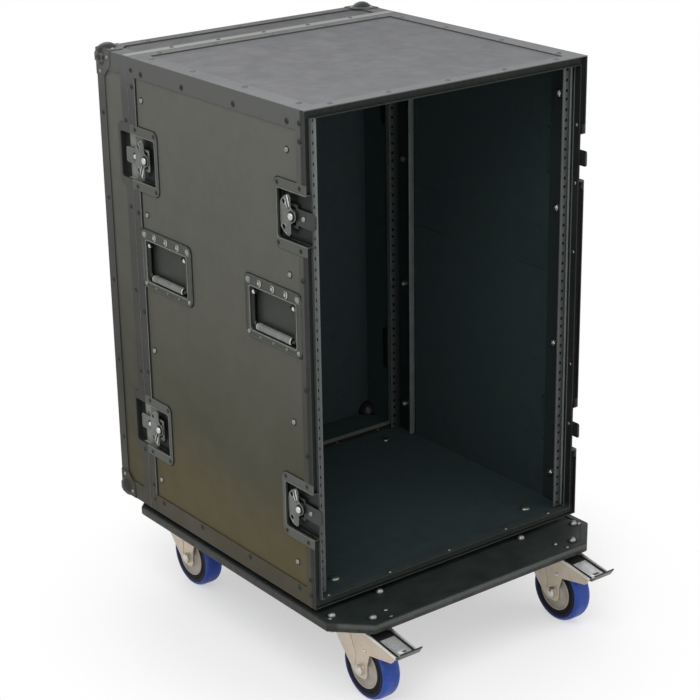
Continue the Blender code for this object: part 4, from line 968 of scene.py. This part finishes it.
TREAD = mm((12, 43.6), (15, 43.7), (15.5, 44.3))
TREAD += [(0.0052 + 0.0104 * cos(t) ** 0.8, 0.0443 + 0.0057 * sin(t)) for t in quarter(9)]
TREAD += mm((4.4, 50))
TYRE_RING = mm((10, 31), (14.8, 31.2), (15.8, 32.2), (16, 34.5), (15.8, 37.2), (15, 38), (12, 38.2))
WALL_RING = mm((11, 37.8), (14.8, 37.9), (15.7, 38.6), (15.9, 41.2), (15.7, 43.4), (15, 44.4), (12, 44.6))
HUB = mm(
    (6, 31.6), (15.4, 31.6), (16.2, 31), (16.2, 29.4), (15.2, 28.6), (14, 27.8), (13.6, 26.6), (13.6, 18),
    (14.6, 16.2), (16.4, 15.2), (17.1, 14.4), (17.2, 13), (17.2, 6.3), (15, 6.3),
)
CUP = mm((0.2, 0), (0.2, 27.2), (-1.2, 28), (-3, 27.6), (-4.2, 26.2), (-4.2, 0))
CAP = mm((-3.6, 0), (-3.6, 8.5), (-6.6, 8), (-7.8, 6.2), (-8.2, 0))
RACE = mm((0, 23.5), (1.2, 26.2), (3.8, 27.6), (6.6, 27.2), (7, 23.5))


def caster(name, along):
    """Tyre, hub and axle nut in place of the plain wheel, and what shows on the fork."""
    middle = wheel_middle(name)
    wheel_body, fork_body = name + "_caster_wheel", name + "_caster_fork"
    across = Matrix.Translation(middle) @ QUARTER
    for label, material, half in (
        ("_tread", FINISH["tyre"], TREAD),
        ("_tyre_ring", BLACK_RUBBER, TYRE_RING),
        ("_sidewall", SIDEWALL_SHADE, WALL_RING),
        ("_hub", HUB_GREY, HUB),
    ):
        ring = built(name + label, material, wheel_body, "tyre", (turned, mirrored(half), 64, across))
        if half is TREAD:
            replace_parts(ring, wheel_body)
    nuts, cheeks = meshes(2)
    top = FORK_TOP - middle.z - 0.0035
    cheek = rounded([
        (0.064, top, 0.003), (0.03, top, 0.004), (0.012, 0.02, 0.01), (0.013, -0.006, 0.004),
        (0.06, top - 0.016, 0.004),
    ])
    for sign in BOTH:
        face = middle + Vector((sign * FORK_HALF, 0, 0))
        out = facing(face, (sign, 0, 0))
        turned(nuts, mm((-0.4, 8.4), (0.8, 8.4), (0.8, 7.6), (0.8, 0)), 32, out)
        turned(nuts, mm((0.4, 7.6), (4.4, 7.6), (5.6, 6.6), (5.6, 0)), 6, out)
        turned(nuts, [(0.0052, 0.0052), *dome(0.0054, 0.0022, 0.0052, 7), (0.0076, 0)], 24, out)
        stud(nuts, face + Vector((0, -0.008, 0.034)), (sign, 0, 0), 0.003, 0.0016)
        turn = Matrix.Translation(middle) @ outward(sign, FORK_HALF)
        plate(cheeks, [cheek], -0.0003, 0.0007, turn, 0.0003)
    rows = (("_axle_nuts", nuts, BRIGHT), ("_fork_cheeks", cheeks, FINISH["zinc"]))
    pieces("zinc", *rows, prefix=name, body=fork_body)
    swivel = Matrix.Translation((middle.x, middle.y + TRAIL, FORK_TOP))
    cup = ((turned, CUP, 48, swivel), (turned, CAP, 24, swivel))
    built(name + "_swivel_cup", FINISH["zinc"], fork_body, "zinc", *cup)
    race = (turned, RACE, 48, shift(swivel, 0, 0, 0.0003))
    built(name + "_swivel_race", FINISH["zinc"], "case", "zinc", race)
    if along < 0:
        brake(name, swivel.translation)


def brake(name, swivel):
    """The pedal in place of the plain one, and the folded flanges of the fork's arms."""
    pedal_body, fork_body = name + "_brake_pedal", name + "_caster_fork"
    x, y, z = swivel
    beside = Matrix(((0, 0, 1, x), (-1, 0, 0, y), (0, 1, 0, z), (0, 0, 0, 1)))
    thick = 0.0019
    top = mm((54, -1.7), (116.5, -9.7), (122.5, -8.8), (128.8, 0.6))
    under = [(a - 0.0002, b - thick) for a, b in reversed(top)]
    bm = bmesh.new()
    for low, high in ((-0.017, -0.0077), (0.0077, 0.017)):
        plate(bm, [top[:3] + under[1:]], low, high, beside, 0.0004)
    slope = (top[1][1] - top[0][1]) / (top[1][0] - top[0][0])
    for ends in ((0.054, 0.105), (0.112, 0.1165)):
        body = [(a, top[0][1] + slope * (a - top[0][0])) for a in ends]
        body += [(a, b - thick) for a, b in reversed(body)]
        plate(bm, [body], -0.0078, 0.0078, beside, 0.0003)
    barrel = Matrix.Translation((x, y - 0.062, z - 0.0092)) @ QUARTER
    turned(bm, mm((-17.6, 0), (-17.6, 4.8), (17.6, 4.8), (17.6, 0)), 28, barrel)
    pedal = new_piece(name + "_pedal_plate", bm, FINISH["chrome"], pedal_body)
    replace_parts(pedal, pedal_body)
    lip = (plate, [top[1:] + under[:3]], -0.0203, 0.0203, beside, 0.0006)
    built(name + "_pedal_lip", LIP_GREY, pedal_body, "chrome", lip)
    shoe = mm((69, -6), (86, -7.5), (88, -11.8), (79, -9.5), (70, -9.2))
    root = mm((54.5, -1.3), (72, -3.5), (72, -4.5), (54.5, -2.3))
    rods = [points((0.06, -0.0016, a), (0.116, -0.0086, a)) for a in (-0.015, 0.015)]
    built(
        name + "_pedal_dark", BLACK_AND_SHADOW, pedal_body, "chrome",
        (sweep, points((0.1286, 0.0006, -0.02), (0.1286, 0.0006, 0.02)), 0.0009, beside, 8),
        (plate, [shoe], -0.0118, 0.0118, beside, 0.0005),
        *((sweep, rod, 0.0014, beside, 10) for rod in rods),
        (plate, [root], -0.015, 0.015, beside, 0.0003),
    )
    bm = bmesh.new()
    for sign in BOTH:
        line = mm((30, -0.4), (58, -1), (115, -9.4), (116.8, -12.2))
        fold = [Vector((a, b, sign * 0.0194)) for a, b in line]
        sweep(bm, fold, [0.0016, 0.0023, 0.0022, 0.0016], beside, 12, 0.7)
    # The folds take the brighter finish, a painted highlight.
    new_piece(name + "_arm_folds", bm, FOLD, fork_body)


# Rear lid


def lid_corners():
    """Smooth ball corners, corner rivets and the rivets of the lid's edging."""
    low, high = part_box("rear_lid_edging")
    balls, dark, bright, upper = meshes(4)
    ball = 0.02
    for side, (z, up) in product(BOTH, CASE_FACES):
        middle_z = MIDDLE + up * ((high.z - low.z) / 2 - ball)
        place = Matrix.Translation((side * (high.x - ball), high.y - ball, middle_z))
        bmesh.ops.create_uvsphere(balls, u_segments=40, v_segments=24, radius=ball, matrix=place)
        for a, b in ((0.031, 0.01), (0.01, 0.034)):
            for place, direction in (
                ((side * (CASE_X + 0.0012), LID_BACK - a, z - up * b), (side, 0, 0)),
                ((side * (CASE_X - b), LID_BACK - a, z + up * 0.0012), (0, 0, up)),
                ((side * (CASE_X - b), LID_BACK + 0.003, z - up * a), (0, 1, 0)),
            ):
                stud(bright, place, direction, 0.003, 0.0014)
    for side, rise in product(BOTH, (0.27, 0.135, 0, -0.135, -0.27)):
        z = MIDDLE + rise
        rivet(dark, (side * CASE_X, LID_BACK - 0.0085, z), (side, 0, 0), 0.0036)
        rivet(dark, (side * (CASE_X - 0.01), LID_BACK + SKIN, z), (0, 1, 0), 0.0036)
        rivet(dark, (side * CASE_X, REAR_Y + 0.01, z), (side, 0, 0), 0.0034)
    for x, (z, up) in product((-0.17, -0.085, 0, 0.085, 0.17), CASE_FACES):
        flat = upper if up > 0 else dark
        rivet(flat, (x, LID_BACK - 0.0085, z), (0, 0, up), 0.0036)
        rivet(dark, (x, LID_BACK + SKIN, z - up * 0.01), (0, 1, 0), 0.0036)
        rivet(flat, (x, REAR_Y + 0.01, z), (0, 0, up), 0.0034)
    rows = (("balls", balls, BALL_BLACK), ("rivets", dark, RIVET_DARK))
    rows += (("top_rivets", upper, RIVET_PAINTED_LIGHT), ("corner_rivets", bright, RIVET_GREY))
    pieces("edging", *rows, prefix="lid_", body="rear_lid")


# Caster board


BOARD_NUT = mm((0, 0), (0, 7.5), (5, 7.5), (6.2, 6), (6.2, 3.5), (10.5, 3.3), (11, 0))
RAIL_NUT = mm((0, 0), (0, 5.8), (3.4, 5.8), (4.2, 4.6), (4.2, 3), (6.2, 2.8), (6.4, 0))


def board_details():
    """Top plate bolts, the edge trim's face and the spacers' bolts."""
    dark, under, edge, rings = meshes(4)
    for name, side, along in CORNERS:
        swivel = wheel_middle(name).xy + Vector((0, TRAIL))
        turn = Matrix.Rotation(radians(45 * side * along), 2)
        for a, b in product((-0.04, 0.04), (-0.03, 0.03)):
            x, y = swivel + turn @ Vector((a, b))
            washer(rings, (x, y, BOARD_TOP), (0, 0, 1), 0.0092, 0.0006)
            carriage_bolt(dark, (x, y, BOARD_TOP), (0, 0, 1), 0.0062, 0.0056)
            turned(under, BOARD_NUT, 6, facing((x, y, BOARD_TOP - 0.015), (0, 0, -1)))
    for side, (x, y) in product(BOTH, ((0.174, -0.272), (0.168, -0.252), (0.247, -0.222))):
        washer(rings, (side * x, y, BOARD_TOP), (0, 0, 1), 0.0056, 0.0006)
        stud(dark, (side * x, y, BOARD_TOP), (0, 0, 1), 0.0036, 0.0022)
    half_x, half_y, cut = BOARD_HIGH.x, (BOARD_HIGH.y - BOARD_LOW.y) / 2, 0.05
    corners = []
    for sx, sy in ((1, 1), (-1, 1), (-1, -1), (1, -1)):
        pair = points((sx * half_x, sy * (half_y - cut)), (sx * (half_x - cut), sy * half_y))
        corners += pair if sx * sy > 0 else pair[::-1]
    at = Matrix.Translation((0, (BOARD_HIGH.y + BOARD_LOW.y) / 2, BOARD_TOP))
    plate(edge, [inset(corners, 0.0002), inset(corners, 0.0092)], -0.0004, 0.0006, at, 0.0003)
    outer = inset(corners, -0.0012)
    plate(edge, [outer, inset(outer, 0.0024)], -0.0124, 0.0006, at, 0.0011)
    rows = (("bolt_rings", rings, BLACK_AND_SHADOW), ("bolts", dark, RIVET_GREY), ("trim", edge, BUMPER))
    pieces("board", *rows, prefix="board_")
    pieces("zinc", ("board_nuts", under, FINISH["zinc"]))


# Inside


def inside():
    """What shows through the open front: bolts in the floor, the rails' nuts and the rear
    rails' folded edges."""
    bright, dark, folds = meshes(3)
    for x, y in product((-0.19, 0.19), (0.045, 0.402)):
        carriage_bolt(bright, (x, FRONT_Y + y, PLY_BOTTOM + PLY), (0, 0, 1), 0.0085, 0.0035)
    for side, at in rail_fixings():
        place = (side * (INNER_X - 0.0023), at.translation.y, at.translation.z)
        turned(dark, RAIL_NUT, 6, facing(place, (-side, 0, 0)))
    for side in BOTH:
        lip = rounded_box((0.2333, 0.2434), (PLY_BOTTOM + 0.012, PLY_TOP - 0.012), 0.0008, 2)
        turn = Matrix(((side, 0, 0, 0), (0, 0, -1, REAR_Y - 0.06), (0, 1, 0, 0), (0, 0, 0, 1)))
        plate(folds, [lip], -0.0016, 0.0004, turn, 0.0005)
    pieces("zinc", ("floor_bolts", bright, RIVET_GREY))
    pieces("rail", ("rail_folds", folds, RAIL_FOLD), ("rail_nuts", dark, BRIGHT))


# Camera and light


def camera():
    data = bpy.data.cameras.new("camera")
    data.sensor_width = 36
    data.lens = CAMERA_LENS
    made = placed("camera", data)
    turn = (
        Matrix.Rotation(CAMERA_AZIMUTH, 4, "Z")
        @ Matrix.Rotation(pi / 2 - CAMERA_ELEVATION, 4, "X")
        @ Matrix.Rotation(CAMERA_ROLL, 4, "Z")
    )
    made.matrix_world = Matrix.Translation(CAMERA_PLACE) @ turn
    bpy.context.scene.camera = made


def lamp(name, place, size, power, target=(0, 0, 0.45)):
    data = bpy.data.lights.new(name, "AREA")
    data.shape = "DISK"
    data.size = size
    data.energy = power
    turn = (Vector(target) - Vector(place)).to_track_quat("-Z", "Y").to_matrix().to_4x4()
    placed(name, data).matrix_world = Matrix.Translation(place) @ turn


def floor_finish():
    """Pale, with the object's shadow, fading to the white of the surround further out.
    From below it is clear, so that the underside shows."""
    s = Shader("floor", 0.9, specular=0)
    s.set("Base Color", (*FLOOR_COLOUR, 1))
    away = s.node("VectorMath", {0: s.place}, operation="LENGTH").outputs["Value"]
    near, far = SHADOW_REACH
    fade = {"Value": away, "From Min": near, "From Max": far, "To Min": SHADOW_LIFT}
    share = s.node("MapRange", fade, interpolation_type="SMOOTHSTEP").outputs["Result"]
    share = s.times(share, s.seen_directly())
    white = s.node("Emission").outputs["Emission"]
    above = s.node("MixShader", {"Fac": share, 1: s.shader.outputs["BSDF"], 2: white})
    clear = s.node("BsdfTransparent").outputs["BSDF"]
    behind = s.node("NewGeometry").outputs["Backfacing"]
    either = s.node("MixShader", {"Fac": behind, 1: above.outputs["Shader"], 2: clear})
    s.link(either.outputs["Shader"], s.tree.nodes["Material Output"].inputs["Surface"])
    return s.material


def studio():
    """A pale floor, a white surround that the camera sees, and soft lamps."""
    world = bpy.data.worlds.new("studio")
    bpy.context.scene.world = world
    sky = Nodes(world)
    background = sky.tree.nodes["Background"].inputs
    sky.link((1, 1, 1, 1), background["Color"])
    sky.link(sky.ramp(sky.seen_directly(), 0, 1, WORLD_STRENGTH, 1), background["Strength"])
    bm = bmesh.new()
    bmesh.ops.create_circle(bm, cap_ends=True, segments=64, radius=6)
    mesh = bpy.data.meshes.new("floor")
    bm.to_mesh(mesh)
    bm.free()
    mesh.materials.append(floor_finish())
    floor = placed("floor", mesh)
    lamp("key", (-1.6, -1.2, 3), 2.2, 38)
    lamp("fill", (2.4, -2.4, 1.8), 2, 16)
    lamp("back", (0.6, 2.6, 2.6), 2, 16)


def main():
    bpy.context.scene.view_settings.view_transform = "Standard"
    finish_nodes()
    fasteners()
    seams()
    for name, side, along in CORNERS:
        for level, rise in (("upper", UPPER_RISE), ("lower", LOWER_RISE)):
            latch(f"{name}_{level}", side, along, rise)
        handle(name, side, along)
        caster(name, along)
    lid_corners()
    board_details()
    inside()
    camera()
    studio()


main()
